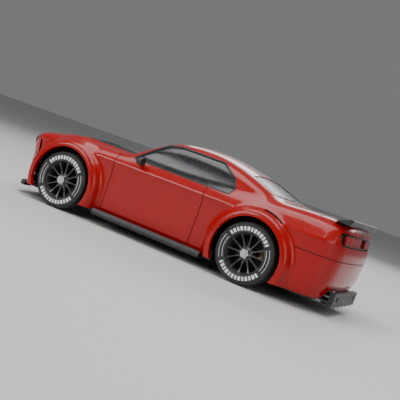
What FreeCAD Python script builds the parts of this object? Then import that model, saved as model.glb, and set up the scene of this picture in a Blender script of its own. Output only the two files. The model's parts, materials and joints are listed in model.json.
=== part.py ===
import FreeCAD, Part
import math
import os
import re
import Sketcher

# A 1:20 remote-controlled drift car: a hollow muscle-coupe body on a flat plastic chassis.
# Millimetres. +X is the nose, +Y the car's left side, +Z up. The origin is on the ground
# under the middle of the car's overall box. Sizes live in the "dims" spreadsheet.

Vector = FreeCAD.Vector
Rotation = FreeCAD.Rotation
Placement = FreeCAD.Placement

DIMENSIONS = [
    # overall layout
    ("overall_length", 235.0, "splitter lip to rear bumper"),
    ("overall_width", 103.0, "across the wheel arch flares"),
    ("overall_height", 70.5, "ground to roof"),
    ("front_overhang", 45.0, "front axle to splitter lip"),
    ("wheelbase", 136.0, "front axle to rear axle"),
    ("wheel_centre_y", 42.5, "half of the track"),
    ("tyre_radius", 18.75, "tyre tread radius"),
    ("tyre_width", 15.0, "tyre width"),
    # wheels
    ("rim_radius", 12.2, "radius the tyre sits on"),
    ("rim_flange", 13.0, "radius of the rim's bead flanges"),
    ("rim_inner", 11.0, "inside of the rim barrel"),
    ("hub_radius", 4.0, "wheel hub"),
    ("hub_length", 11.0, "wheel hub along the axle"),
    ("spoke_count", 12, "spokes in a wheel"),
    ("spoke_width", 1.5, "spoke width"),
    ("axle_radius", 1.5, "rear axle and front axle screws"),
    ("running_gap", 0.05, "radial clearance of what turns"),
    ("seat_gap", 0.02, "radial clearance of what is pressed in"),
    # chassis
    ("floor_bottom", 6.0, "ground clearance"),
    ("floor_thickness", 1.8, "chassis floor"),
    ("wall_height", 8.0, "chassis side walls, from the underside"),
    ("wall", 1.6, "chassis wall thickness"),
    ("chassis_nose", 106.0, "front end of the chassis"),
    ("chassis_tail", 104.0, "rear end of the chassis"),
    ("tub_front", 44.0, "front of the wide middle tub"),
    ("tub_rear", -41.0, "rear of the wide middle tub"),
    ("tub_half_width", 40.0, "half width of the middle tub"),
    ("front_half_width", 21.0, "half width between the front wheels"),
    ("rear_half_width", 30.0, "half width between the rear wheels"),
    ("bay_centre", 8.0, "middle of the battery bay"),
    ("bay_length", 54.0, "battery bay"),
    ("bay_width", 33.0, "battery bay"),
    ("cell_radius", 7.0, "battery cell"),
    ("cell_length", 46.0, "battery cell"),
    ("screw_radius", 1.0, "self-tapping screw shank"),
    ("screw_hole", 1.3, "clearance hole for a screw"),
    ("screw_head", 2.0, "screw head, radius"),
    ("screw_recess", 2.3, "recess for a screw head, radius"),
    ("screw_recess_depth", 1.0, "recess for a screw head, depth"),
    ("tray_hole", 1.6, "hole for the packing tray's screws"),
    ("tray_hole_x", 92.0, "packing tray holes, either way from the middle"),
    ("front_post_x", 90.0, "front body posts"),
    ("front_post_y", 6.0, "front body posts"),
    ("rear_post_x", -90.0, "rear body posts"),
    ("rear_post_y", 22.0, "rear body posts"),
    ("post_radius", 3.0, "body post"),
    # front suspension and steering
    ("kingpin_y", 31.5, "kingpin axis"),
    ("kingpin_radius", 1.1, "kingpin"),
    ("arm_bottom", 7.9, "underside of the lower arm"),
    ("arm_thickness", 2.5, "suspension arm plates"),
    ("arm_end_radius", 3.3, "arm eye around the kingpin"),
    ("knuckle_bottom", 10.55, "knuckle barrel"),
    ("knuckle_height", 12.0, "knuckle barrel"),
    ("knuckle_radius", 3.0, "knuckle barrel"),
    ("collar_height", 1.0, "spring collar"),
    ("spring_length", 6.3, "coil spring, fitted"),
    ("spring_radius", 2.0, "coil spring, to the wire's middle"),
    ("wire_radius", 0.25, "spring wire"),
    ("spring_turns", 5.0, "coils in a spring"),
    ("steering_arm", 12.0, "kingpin to steering pin, and servo shaft to its pin"),
    ("steering_pin", 1.0, "steering pin radius"),
    ("steering_pin_gap", 0.25, "side play of a pin in its slot"),
    ("link_bottom", 24.6, "steering link"),
    ("link_thickness", 1.8, "steering link"),
    ("link_width", 6.0, "steering link, fore and aft"),
    # drive train
    ("gear_module", 0.5, "all gears"),
    ("pinion_teeth", 9, "motor pinion"),
    ("idler_big_teeth", 30, "idler gear, driven side"),
    ("idler_small_teeth", 12, "idler gear, driving side"),
    ("axle_gear_teeth", 36, "gear on the rear axle"),
    ("mesh_gap", 0.12, "added to each centre distance"),
    ("idler_lift", 15.0, "degrees the idler sits above the axle, forwards"),
    ("motor_drop", 18.0, "degrees the motor sits below the idler, forwards"),
    ("layer_one_y", 11.2, "pinion and big idler wheel"),
    ("layer_two_y", 14.7, "small idler wheel and axle gear"),
    ("gear_face", 3.2, "gear tooth face"),
    ("motor_radius", 10.0, "motor can"),
    ("motor_length", 31.0, "motor can"),
    ("motor_end_y", 8.8, "motor can's output end"),
    ("motor_shaft", 1.0, "motor shaft radius"),
    ("gearbox_y", 9.0, "right face of the gearbox"),
    ("gearbox_plate", 1.4, "gearbox wall along the axle"),
    ("gearbox_depth", 10.4, "gearbox case along the axle"),
    # body shell
    ("shell", 1.4, "body wall"),
    ("body_bottom", 8.0, "lower edge of the body"),
    ("body_nose", 116.0, "foremost point of the body"),
    ("body_half_width", 46.5, "body side, without flares"),
    ("arch_radius", 22.0, "wheel arch opening"),
    ("well_radius", 25.0, "wheel well behind the flare's lip, with room to steer"),
    ("well_half_width", 48.0, "centre plane to the outer end of the wheel well"),
    ("flare_root", 29.0, "flare where it leaves the body side"),
    ("flare_lip", 25.0, "flare at its outer edge"),
    ("flare_root_y", 44.5, "flare where it leaves the body side"),
    ("glazing", 0.8, "window insert"),
]

ALIASES = [alias for alias, _, _ in DIMENSIONS]
ALIAS_WORDS = re.compile(r"\b(" + "|".join(ALIASES) + r")\b")

# Places worked out from the driving dimensions, as spreadsheet expressions.
FRONT_X = "(overall_length / 2 - front_overhang)"
REAR_X = "(overall_length / 2 - front_overhang - wheelbase)"
FLOOR_TOP = "(floor_bottom + floor_thickness)"
AXLE_TO_IDLER = "(gear_module * (axle_gear_teeth + idler_small_teeth) / 2 + mesh_gap)"
IDLER_TO_MOTOR = "(gear_module * (idler_big_teeth + pinion_teeth) / 2 + mesh_gap)"
IDLER_X = f"({REAR_X} + {AXLE_TO_IDLER} * cos(idler_lift * 1deg))"
IDLER_Z = f"(tyre_radius + {AXLE_TO_IDLER} * sin(idler_lift * 1deg))"
MOTOR_X = f"({IDLER_X} + {IDLER_TO_MOTOR} * cos(motor_drop * 1deg))"
MOTOR_Z = f"({IDLER_Z} - {IDLER_TO_MOTOR} * sin(motor_drop * 1deg))"
COLLAR_Z = "(knuckle_bottom + knuckle_height + 0.1)"
SPRING_Z = "(knuckle_bottom + knuckle_height + 0.15 + collar_height)"
UPPER_ARM_Z = "(knuckle_bottom + knuckle_height + 0.2 + collar_height + spring_length)"
SERVO_X = f"({FRONT_X} - 2 * steering_arm)"
LINK_X = f"({FRONT_X} - steering_arm)"

SIDES = {"left": 1, "right": -1}
AXES = {"X": Rotation(Vector(0, 1, 0), 90), "Y": Rotation(Vector(1, 0, 0), -90), "Z": Rotation()}

doc = FreeCAD.newDocument("DriftCar")
sheet = doc.addObject("Spreadsheet::Sheet", "dims")
nodes = []


# ---------------------------------------------------------------- spreadsheet and expressions


def fill_sheet():
    for row, (alias, number, meaning) in enumerate(DIMENSIONS, start=1):
        sheet.set(f"A{row}", meaning)
        sheet.set(f"B{row}", str(number))
        sheet.setAlias(f"B{row}", alias)
    doc.recompute()


def linked(words):
    """An expression in plain dimension names, pointed at the spreadsheet."""
    return ALIAS_WORDS.sub(r"dims.\1", str(words))


def value(words):
    """What an expression in dimension names comes to now."""
    return float(sheet.evalExpression(linked(words)))


def bind(obj, prop, words):
    obj.setExpression(prop, linked(words))


def place(obj, x=0, y=0, z=0, turn=None):
    obj.Placement = Placement(Vector(), turn or Rotation())
    for axis, words in zip("xyz", (x, y, z)):
        bind(obj, f"Placement.Base.{axis}", words)
    return obj


def node(obj, name):
    """Marks an object as a sub-part: its label names its file."""
    obj.Label = name
    nodes.append(obj)
    return obj


# ---------------------------------------------------------------- Part primitives and booleans


def box(x, y, z, length, width, height):
    obj = doc.addObject("Part::Box", "Box")
    for prop, words in (("Length", length), ("Width", width), ("Height", height)):
        bind(obj, prop, words)
    return place(obj, x, y, z)


def middle_box(x, y, z, length, width, height):
    """A box whose x and y are its middle, and whose z is its underside."""
    return box(f"{x} - ({length}) / 2", f"{y} - ({width}) / 2", z, length, width, height)


def cylinder(x, y, z, radius, height, axis="Z"):
    obj = doc.addObject("Part::Cylinder", "Cylinder")
    bind(obj, "Radius", radius)
    bind(obj, "Height", height)
    return place(obj, x, y, z, AXES[axis])


def cone(x, y, z, start_radius, end_radius, height, axis="Z"):
    obj = doc.addObject("Part::Cone", "Cone")
    for prop, words in (("Radius1", start_radius), ("Radius2", end_radius), ("Height", height)):
        bind(obj, prop, words)
    return place(obj, x, y, z, AXES[axis])


def fuse(*shapes):
    obj = doc.addObject("Part::MultiFuse", "Fusion")
    obj.Shapes = list(shapes)
    return obj


def cut(base, *tools):
    obj = doc.addObject("Part::Cut", "Cut")
    obj.Base = base
    obj.Tool = tools[0] if len(tools) == 1 else fuse(*tools)
    return obj


def group(*shapes):
    """Separate solids in one sub-part."""
    obj = doc.addObject("Part::Compound", "Group")
    obj.Links = list(shapes)
    return obj


def ring(x, y, z, outer, inner, height, axis="Z"):
    return cut(
        cylinder(x, y, z, outer, height, axis),
        cylinder(x, y, z, inner, height, axis),
    )


def slot(x, y, z, half_width, length, height):
    """A round-ended slot along X, as a solid to cut with."""
    straight = f"({length}) - 2 * ({half_width})"
    return fuse(
        middle_box(x, y, z, straight, f"2 * ({half_width})", height),
        cylinder(f"{x} - ({straight}) / 2", y, z, half_width, height),
        cylinder(f"{x} + ({straight}) / 2", y, z, half_width, height),
    )


# ---------------------------------------------------------------- PartDesign bodies


def new_body(name):
    body = doc.addObject("PartDesign::Body", "Body")
    return node(body, name)


def plane_of(body, role):
    return next(f for f in body.Origin.OriginFeatures if f.Role == role)


def new_sketch(body, role, height=0):
    """A sketch on one of the body's own origin planes, raised by height."""
    sketch = body.newObject("Sketcher::SketchObject", "Sketch")
    sketch.AttachmentSupport = [(plane_of(body, role), "")]
    sketch.MapMode = "FlatFace"
    bind(sketch, "AttachmentOffset.Base.z", height)
    return sketch


def add_outline(sketch, points):
    """A closed outline of straight lines, each corner tied to the sheet by two distances."""
    first = sketch.GeometryCount
    count = len(points)
    corners = [Vector(value(x), value(y), 0) for x, y in points]
    for i in range(count):
        sketch.addGeometry(Part.LineSegment(corners[i], corners[(i + 1) % count]))
    for i in range(count):
        follows = first + (i + 1) % count
        sketch.addConstraint(Sketcher.Constraint("Coincident", first + i, 2, follows, 1))
    for i, (x, y) in enumerate(points):
        for kind, words in (("DistanceX", x), ("DistanceY", y)):
            index = sketch.addConstraint(
                Sketcher.Constraint(kind, -1, 1, first + i, 1, value(words))
            )
            bind(sketch, f"Constraints[{index}]", words)


def add_circle(sketch, x, y, radius):
    index = sketch.addGeometry(
        Part.Circle(Vector(value(x), value(y), 0), Vector(0, 0, 1), value(radius))
    )
    for kind, words in (("DistanceX", x), ("DistanceY", y)):
        number = sketch.addConstraint(Sketcher.Constraint(kind, -1, 1, index, 3, value(words)))
        bind(sketch, f"Constraints[{number}]", words)
    number = sketch.addConstraint(Sketcher.Constraint("Radius", index, value(radius)))
    bind(sketch, f"Constraints[{number}]", radius)


def mirrored(points):
    """Points down one side, followed by the same points on the other side."""
    return points + [(x, f"-({y})") for x, y in reversed(points)]


def pad(body, sketch, length):
    feature = body.newObject("PartDesign::Pad", "Pad")
    feature.Profile = sketch
    bind(feature, "Length", length)
    return feature


def pocket(body, sketch, depth):
    """Cuts upwards from its sketch. Stops the build if it takes nothing away."""
    before = body.Shape.Volume
    feature = body.newObject("PartDesign::Pocket", "Pocket")
    feature.Profile = sketch
    feature.Reversed = True
    bind(feature, "Length", depth)
    doc.recompute()
    if body.Shape.Volume > before - 0.1:
        raise RuntimeError(f"a pocket in {body.Label} cuts nothing")
    return feature


def revolve(body, sketch):
    feature = body.newObject("PartDesign::Revolution", "Revolution")
    feature.Profile = sketch
    feature.ReferenceAxis = (sketch, ["V_Axis"])
    feature.Angle = 360
    return feature


# ---------------------------------------------------------------- chassis


def chassis_outline():
    front_wheel = f"{FRONT_X} + 27"
    return mirrored(
        [
            ("chassis_nose", "front_half_width + 9"),
            ("chassis_nose - 5", "front_half_width + 13"),
            (front_wheel, "front_half_width + 13"),
            (front_wheel, "front_half_width"),
            ("tub_front + 2", "front_half_width"),
            ("tub_front", "tub_half_width"),
            ("tub_rear", "tub_half_width"),
            ("tub_rear - 2", "rear_half_width"),
            ("-chassis_tail", "rear_half_width"),
        ]
    )


def tub_ring(inset):
    return mirrored(
        [
            (f"tub_front - {inset}", f"tub_half_width - {inset}"),
            (f"tub_rear + {inset}", f"tub_half_width - {inset}"),
        ]
    )


def make_chassis_tub():
    body = new_body("chassis_tub")
    floor = new_sketch(body, "XY_Plane", "floor_bottom")
    add_outline(floor, chassis_outline())
    pad(body, floor, "floor_thickness")

    walls = new_sketch(body, "XY_Plane", FLOOR_TOP)
    add_outline(walls, tub_ring("0"))
    add_outline(walls, tub_ring("wall"))
    pad(body, walls, "wall_height - floor_thickness")

    gaps = new_sketch(body, "XY_Plane", FLOOR_TOP)
    servo_gap = [("tub_front + 1", "8"), ("tub_front - wall - 1", "8")]
    motor_gap = [("tub_rear + wall + 1", "25"), ("tub_rear - 1", "25")]
    add_outline(gaps, mirrored(servo_gap))
    add_outline(gaps, mirrored(motor_gap))
    doc.recompute()
    pocket(body, gaps, "wall_height - floor_thickness")

    board_posts = new_sketch(body, "XY_Plane", FLOOR_TOP)
    for x in ("-10", "24"):
        for y in ("19", "-19"):
            add_circle(board_posts, x, y, "2")
    pad(body, board_posts, f"24.4 - {FLOOR_TOP}")

    bumper = new_sketch(body, "XY_Plane", FLOOR_TOP)
    add_outline(
        bumper,
        mirrored(
            [
                ("chassis_nose - 0.5", "front_half_width + 8"),
                ("chassis_nose - 3", "front_half_width + 10"),
                ("chassis_nose - 4", "front_half_width + 8"),
            ]
        ),
    )
    pad(body, bumper, "7")

    tail = new_sketch(body, "XY_Plane", FLOOR_TOP)
    add_outline(
        tail,
        mirrored([("1 - chassis_tail", "rear_half_width - 1"), ("4 - chassis_tail", "rear_half_width - 1")]),
    )
    pad(body, tail, "6")

    bay = new_sketch(body, "XY_Plane", "floor_bottom")
    add_outline(
        bay,
        mirrored(
            [
                ("bay_centre + bay_length / 2", "bay_width / 2"),
                ("bay_centre - bay_length / 2", "bay_width / 2"),
            ]
        ),
    )
    doc.recompute()
    pocket(body, bay, "floor_thickness")

    holes = new_sketch(body, "XY_Plane", "floor_bottom")
    for x in ("tray_hole_x", "-tray_hole_x"):
        add_circle(holes, x, "0", "tray_hole")
    for x, y in (("front_post_x", "front_post_y"), ("rear_post_x", "rear_post_y")):
        add_circle(holes, x, y, "screw_hole")
        add_circle(holes, x, f"-{y}", "screw_hole")
    pocket(body, holes, "floor_thickness")

    recesses = new_sketch(body, "XY_Plane", "floor_bottom")
    for x, y in (("front_post_x", "front_post_y"), ("rear_post_x", "rear_post_y")):
        add_circle(recesses, x, y, "screw_recess")
        add_circle(recesses, x, f"-{y}", "screw_recess")
    pocket(body, recesses, "screw_recess_depth")

    windows = new_sketch(body, "XY_Plane", "floor_bottom")
    for side in (1, -1):
        add_outline(
            windows,
            [("-28", f"{31 * side}"), ("32", f"{31 * side}"), ("32", f"{35 * side}"), ("-28", f"{35 * side}")],
        )
    add_outline(windows, [("-36", "24.6"), ("-28.5", "24.6"), ("-28.5", "27.4"), ("-36", "27.4")])
    pocket(body, windows, "floor_thickness")

    beam = new_sketch(body, "XY_Plane", FLOOR_TOP)
    add_outline(
        beam,
        mirrored(
            [
                ("bay_centre - bay_length / 2 + 3.2", "bay_width / 2 + 2"),
                ("bay_centre - bay_length / 2 - 1.5", "bay_width / 2 + 2"),
            ]
        ),
    )
    pad(body, beam, "4")
    screw_bore = new_sketch(body, "XY_Plane", FLOOR_TOP)
    add_circle(screw_bore, "bay_centre - bay_length / 2 + 1.6", "0", "screw_radius + seat_gap")
    doc.recompute()
    pocket(body, screw_bore, "4")


def make_battery():
    door_length = "(bay_length - 0.4)"
    door = cut(
        fuse(
            middle_box("bay_centre", "0", "floor_bottom", door_length, "bay_width - 0.4", "1.6"),
            middle_box(f"bay_centre + {door_length} / 2 - 3", "9", "floor_bottom + 1.6", "2", "6", "0.3"),
            middle_box(f"bay_centre + {door_length} / 2 - 3", "-9", "floor_bottom + 1.6", "2", "6", "0.3"),
            middle_box(f"bay_centre + {door_length} / 2", "9", "floor_bottom + 1.9", "8", "6", "1"),
            middle_box(f"bay_centre + {door_length} / 2", "-9", "floor_bottom + 1.9", "8", "6", "1"),
        ),
        cylinder("bay_centre - bay_length / 2 + 1.6", "0", "floor_bottom", "screw_hole", "1.6"),
        cylinder("bay_centre - bay_length / 2 + 1.6", "0", "floor_bottom", "1.65", "screw_recess_depth"),
    )
    node(door, "battery_door")

    start = "bay_centre - cell_length / 2 - 0.6"
    z = "cell_radius + 7.7"
    pack = fuse(
        cylinder(start, "cell_radius + 0.1", z, "cell_radius", "cell_length", "X"),
        cylinder(start, "-cell_radius - 0.1", z, "cell_radius", "cell_length", "X"),
        box(start, "-cell_radius", f"{z} - 5", "cell_length", "2 * cell_radius", "10"),
    )
    node(pack, "battery_pack")


def make_receiver_board():
    top = "24.5 + 1.2"
    board = fuse(
        middle_box("7", "0", "24.5", "40", "43", "1.2"),
        middle_box("12", "6", top, "9", "9", "1.4"),
        middle_box("-4", "-9", top, "7", "5", "1.6"),
        middle_box("20", "-10", top, "8", "6", "4.5"),
        middle_box("-6", "12", top, "7", "9", "4"),
        cylinder("4", "-12", top, "2.5", "7"),
        cylinder("12", "-14", top, "2", "5"),
    )
    node(board, "receiver_board")


def make_power_switch():
    housing = cut(
        middle_box("-32.25", "26", f"{FLOOR_TOP} + 0.1", "12", "6", "5"),
        middle_box("-32.25", "26", f"{FLOOR_TOP} + 0.1", "7.6", "3.2", "3.4"),
    )
    node(housing, "switch_housing")
    slider = fuse(
        middle_box("-33.9", "26", "floor_bottom + 0.1", "2.8", "2.2", "2.4"),
        middle_box("-33.9", "26", f"{FLOOR_TOP} + 0.4", "3.6", "2.6", "2.6"),
    )
    node(slider, "switch_slider")


def make_underglow():
    bars = [
        middle_box("2", f"{33 * side}", "floor_bottom + 0.1", "59.6", "3.6", "3")
        for side in SIDES.values()
    ]
    node(group(*bars), "underglow_bars")


def post_places():
    for side in SIDES.values():
        yield "front_post_x", f"{side} * front_post_y", "44.5"
        yield "rear_post_x", f"{side} * rear_post_y", "51.5"


def make_body_posts():
    posts = []
    for x, y, top in post_places():
        post = cylinder(x, y, f"{FLOOR_TOP} + 0.05", "post_radius", f"{top} - {FLOOR_TOP}")
        bore = cylinder(x, y, f"{FLOOR_TOP} + 0.05", "screw_radius + seat_gap", "9")
        posts.append(cut(post, bore))
    node(group(*posts), "body_posts")


def screw(x, y, head_radius, length):
    """A cheese-head screw driven up through the chassis floor, its head in a recess."""
    head = "floor_bottom + 0.05"
    return fuse(
        cylinder(x, y, head, head_radius, "screw_recess_depth - 0.1"),
        cylinder(x, y, f"{head} + screw_recess_depth - 0.15", "screw_radius", length),
    )


def make_screws():
    screws = [screw(x, y, "screw_head", "8") for x, y, _ in post_places()]
    screws.append(screw("bay_centre - bay_length / 2 + 1.6", "0", "1.5", "4.5"))
    node(group(*screws), "underside_screws")


# ---------------------------------------------------------------- front suspension and steering


def arm_plate(z, centre_length, centre_width):
    eyes = [cylinder(FRONT_X, f"{s} * kingpin_y", z, "arm_end_radius", "arm_thickness") for s in (1, -1)]
    pin_holes = [
        cylinder(FRONT_X, f"{s} * kingpin_y", z, "kingpin_radius + seat_gap", "arm_thickness")
        for s in (1, -1)
    ]
    plate = fuse(
        middle_box(FRONT_X, "0", z, "2 * arm_end_radius", "2 * kingpin_y", "arm_thickness"),
        middle_box(FRONT_X, "0", z, centre_length, centre_width, "arm_thickness"),
        *eyes,
    )
    return plate, pin_holes


def make_front_arms():
    plate, holes = arm_plate("arm_bottom", "20", "36")
    tower_bottom = "arm_bottom + arm_thickness - 0.1"
    towers = [
        cylinder(FRONT_X, f"{s} * 12", tower_bottom, "2.6", f"{UPPER_ARM_Z} - 0.1 - ({tower_bottom})")
        for s in (1, -1)
    ]
    node(cut(fuse(plate, *towers), *holes), "front_lower_arm")
    plate, holes = arm_plate(UPPER_ARM_Z, "12", "34")
    node(cut(plate, *holes), "front_upper_arm")
    pins = [
        cylinder(FRONT_X, f"{s} * kingpin_y", "arm_bottom", "kingpin_radius", f"{UPPER_ARM_Z} - arm_bottom + 3")
        for s in (1, -1)
    ]
    node(group(*pins), "kingpins")


def make_spring(name, side):
    """A coil spring around its kingpin, between the collar and the upper arm."""
    start = f"{SPRING_Z} + wire_radius"
    coil = doc.addObject("Part::Helix", "Helix")
    bind(coil, "Pitch", "(spring_length - 2 * wire_radius) / spring_turns")
    bind(coil, "Height", "spring_length - 2 * wire_radius")
    bind(coil, "Radius", "spring_radius")
    wire = doc.addObject("Part::Circle", "Circle")
    bind(wire, "Radius", "wire_radius")
    place(wire, "spring_radius", 0, 0, Rotation(Vector(1, 0, 0), 90))
    spring = doc.addObject("Part::Sweep", "Sweep")
    spring.Sections = [wire]
    spring.Spine = (coil, ["Edge1"])
    spring.Solid = True
    spring.Frenet = True
    place(spring, FRONT_X, f"{side} * kingpin_y", start)
    node(spring, name)


def make_knuckle(name, side):
    y = f"{side} * kingpin_y"
    pin_x = LINK_X
    arm_z = "link_bottom - 5.1"
    boss_length = "(wheel_centre_y - hub_length / 2 - 0.2 - kingpin_y)"
    boss_start = "kingpin_y" if side > 0 else f"-kingpin_y - {boss_length}"
    solid = fuse(
        cylinder(FRONT_X, y, "knuckle_bottom", "knuckle_radius", "knuckle_height"),
        cylinder(FRONT_X, boss_start, "tyre_radius", "2.8", boss_length, "Y"),
        box(pin_x, f"{y} - 1.8", arm_z, "steering_arm", "3.6", "2.4"),
        cylinder(pin_x, y, arm_z, "2.2", "2.4"),
        cylinder(pin_x, y, arm_z, "steering_pin", "8"),
    )
    screw_start = "kingpin_y + 3.4" if side > 0 else "-kingpin_y - 5.4"
    knuckle = cut(
        solid,
        cylinder(FRONT_X, y, "knuckle_bottom", "kingpin_radius + running_gap", "knuckle_height"),
        cylinder(FRONT_X, screw_start, "tyre_radius", "axle_radius + seat_gap", "2", "Y"),
    )
    node(knuckle, name)


def make_axle_screw(name, side):
    """The shoulder screw that the front wheel turns on."""
    shank_start = "kingpin_y + 3.5"
    shank_length = "(wheel_centre_y + hub_length / 2 + 0.2 - kingpin_y - 3.5)"
    head_y = "(wheel_centre_y + hub_length / 2 + 0.1)"
    if side > 0:
        shank = cylinder(FRONT_X, shank_start, "tyre_radius", "axle_radius", shank_length, "Y")
        head = cylinder(FRONT_X, head_y, "tyre_radius", "2.6", "1.4", "Y")
    else:
        shank = cylinder(FRONT_X, f"-({shank_start}) - {shank_length}", "tyre_radius", "axle_radius", shank_length, "Y")
        head = cylinder(FRONT_X, f"-{head_y} - 1.4", "tyre_radius", "2.6", "1.4", "Y")
    node(fuse(shank, head), name)


def make_front_corner(word, side):
    make_knuckle(f"knuckle_{word}", side)
    make_axle_screw(f"axle_screw_{word}", side)
    y = f"{side} * kingpin_y"
    bore = "kingpin_radius + running_gap"
    node(ring(FRONT_X, y, COLLAR_Z, "knuckle_radius", bore, "collar_height"), f"spring_collar_{word}")
    make_spring(f"spring_{word}", side)


def make_steering():
    end_x = f"({LINK_X} + 0.5)"
    plate = fuse(
        middle_box(end_x, "0", "link_bottom", "link_width", "2 * kingpin_y", "link_thickness"),
        cylinder(end_x, "kingpin_y", "link_bottom", "link_width / 2", "link_thickness"),
        cylinder(end_x, "-kingpin_y", "link_bottom", "link_width / 2", "link_thickness"),
        cylinder(f"({LINK_X} - 0.5)", "0", "link_bottom", "3.6", "link_thickness"),
    )
    slot_half = "steering_pin + steering_pin_gap"
    slots = [
        slot(end_x, f"{s} * kingpin_y", "link_bottom", slot_half, "4.2", "link_thickness") for s in (1, -1)
    ]
    slots.append(slot(f"({LINK_X} - 0.5)", "0", "link_bottom", slot_half, "4.2", "link_thickness"))
    node(cut(plate, *slots), "steering_link")

    shaft = "1.2"
    case = cut(
        fuse(
            middle_box(f"{SERVO_X} - 3.5", "0", f"{FLOOR_TOP} + 0.1", "17", "11", "12"),
            cylinder(SERVO_X, "0", f"{FLOOR_TOP} + 12", "4.4", "1.6"),
            middle_box(f"{SERVO_X} - 3.5", "0", f"{FLOOR_TOP} + 8", "23", "11", "1.4"),
        ),
        cylinder(SERVO_X, "0", f"{FLOOR_TOP} + 8", f"{shaft} + running_gap", "7"),
    )
    node(case, "steering_servo")
    arm_z = "link_bottom - 2.4"
    horn = fuse(
        cylinder(SERVO_X, "0", f"{FLOOR_TOP} + 8.2", shaft, f"{arm_z} - {FLOOR_TOP} - 7.2"),
        cylinder(SERVO_X, "0", arm_z, "3.2", "2"),
        box(SERVO_X, "-1.7", arm_z, "steering_arm", "3.4", "2"),
        cylinder(LINK_X, "0", arm_z, "1.7", "2"),
        cylinder(LINK_X, "0", arm_z, "steering_pin", "5.2"),
    )
    node(horn, "servo_horn")


# ---------------------------------------------------------------- drive train


def involute_points(base, outer, turn, mirror):
    """Points up one flank of a tooth, from the base circle to the tip."""
    points = []
    end = math.sqrt(max((outer / base) ** 2 - 1, 0))
    for i in range(5):
        roll = end * i / 4
        radius = base * math.sqrt(1 + roll * roll)
        angle = roll - math.atan(roll)
        angle = turn + angle if not mirror else -turn - angle
        points.append((radius, angle))
    return points


def gear_shape(teeth, face, bore, tooth_at):
    """A spur gear along +Y from the origin. tooth_at is the angle in XZ of one tooth, in radians."""
    module = value("gear_module")
    pitch = module * teeth / 2
    base = pitch * math.cos(math.radians(20))
    outer = pitch + 0.85 * module
    root = pitch - 1.25 * module
    roll = math.sqrt((pitch / base) ** 2 - 1)
    half_tooth = math.pi / (2 * teeth) - value("mesh_gap") * 0.35 / pitch
    turn = -(half_tooth + roll - math.atan(roll))
    corners = []
    for tooth in range(teeth):
        middle = tooth_at + 2 * math.pi * tooth / teeth
        flank = involute_points(base, outer, turn, False)
        other = involute_points(base, outer, turn, True)
        corners.append((root, middle + flank[0][1]))
        corners += [(r, middle + a) for r, a in flank]
        corners += [(r, middle + a) for r, a in reversed(other)]
        corners.append((root, middle + other[0][1]))
    points = [Vector(r * math.cos(a), 0, r * math.sin(a)) for r, a in corners]
    wire = Part.makePolygon(points + points[:1])
    solid = Part.Face(wire).extrude(Vector(0, face, 0))
    if bore:
        solid = solid.cut(Part.makeCylinder(bore, face, Vector(), Vector(0, 1, 0)))
    return solid


def shaped(shape, x, y, z, name=None):
    """A Part::Feature with a shape of its own, placed by the sheet."""
    obj = doc.addObject("Part::Feature", "Shaped")
    obj.Shape = shape
    obj.Placement = Placement(Vector(value(x), value(y), value(z)), Rotation())
    return node(obj, name) if name else obj


def make_gears():
    to_idler = math.radians(value("idler_lift"))
    to_motor = -math.radians(value("motor_drop"))
    face = value("gear_face")
    axle_bore = value("axle_radius + seat_gap")
    axle_teeth = int(value("axle_gear_teeth"))
    axle_gear = gear_shape(axle_teeth, face, axle_bore, to_idler + math.pi / axle_teeth)
    hub = Part.makeCylinder(3.2, 1.0, Vector(0, face, 0), Vector(0, 1, 0))
    hub = hub.cut(Part.makeCylinder(axle_bore, 1.0, Vector(0, face, 0), Vector(0, 1, 0)))
    shaped(axle_gear.fuse(hub), REAR_X, "layer_two_y", "tyre_radius", "axle_gear")

    pin_bore = value("motor_shaft + running_gap")
    big = gear_shape(int(value("idler_big_teeth")), face, pin_bore, to_motor)
    small = gear_shape(int(value("idler_small_teeth")), face, pin_bore, to_idler + math.pi)
    step = value("layer_two_y - layer_one_y")
    spacer = Part.makeCylinder(2.2, step - face, Vector(0, face, 0), Vector(0, 1, 0))
    spacer = spacer.cut(Part.makeCylinder(pin_bore, step, Vector(0, 0, 0), Vector(0, 1, 0)))
    small.translate(Vector(0, step, 0))
    shaped(big.fuse(spacer).fuse(small), IDLER_X, "layer_one_y", IDLER_Z, "idler_gear")

    pinion_teeth = int(value("pinion_teeth"))
    bore = value("motor_shaft + seat_gap")
    pinion = gear_shape(pinion_teeth, face, bore, to_motor + math.pi + math.pi / pinion_teeth)
    shaped(pinion, MOTOR_X, "layer_one_y", MOTOR_Z, "motor_pinion")


def make_motor():
    start = "(motor_end_y - motor_length)"
    can = cut(
        fuse(
            cylinder(MOTOR_X, start, MOTOR_Z, "motor_radius", "motor_length", "Y"),
            cylinder(MOTOR_X, f"{start} - 2", MOTOR_Z, "3", "2", "Y"),
        ),
        cylinder(MOTOR_X, f"{start} - 2", MOTOR_Z, "motor_shaft + running_gap", "motor_length + 2", "Y"),
        box(f"{MOTOR_X} - 12", f"{start}", f"{MOTOR_Z} + 8", "24", "motor_length - 5", "4"),
    )
    node(can, "motor_case")
    shaft = cylinder(MOTOR_X, f"{start} - 3.5", MOTOR_Z, "motor_shaft", "motor_length + 3.5 + 6.2", "Y")
    node(shaft, "motor_shaft")


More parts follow.
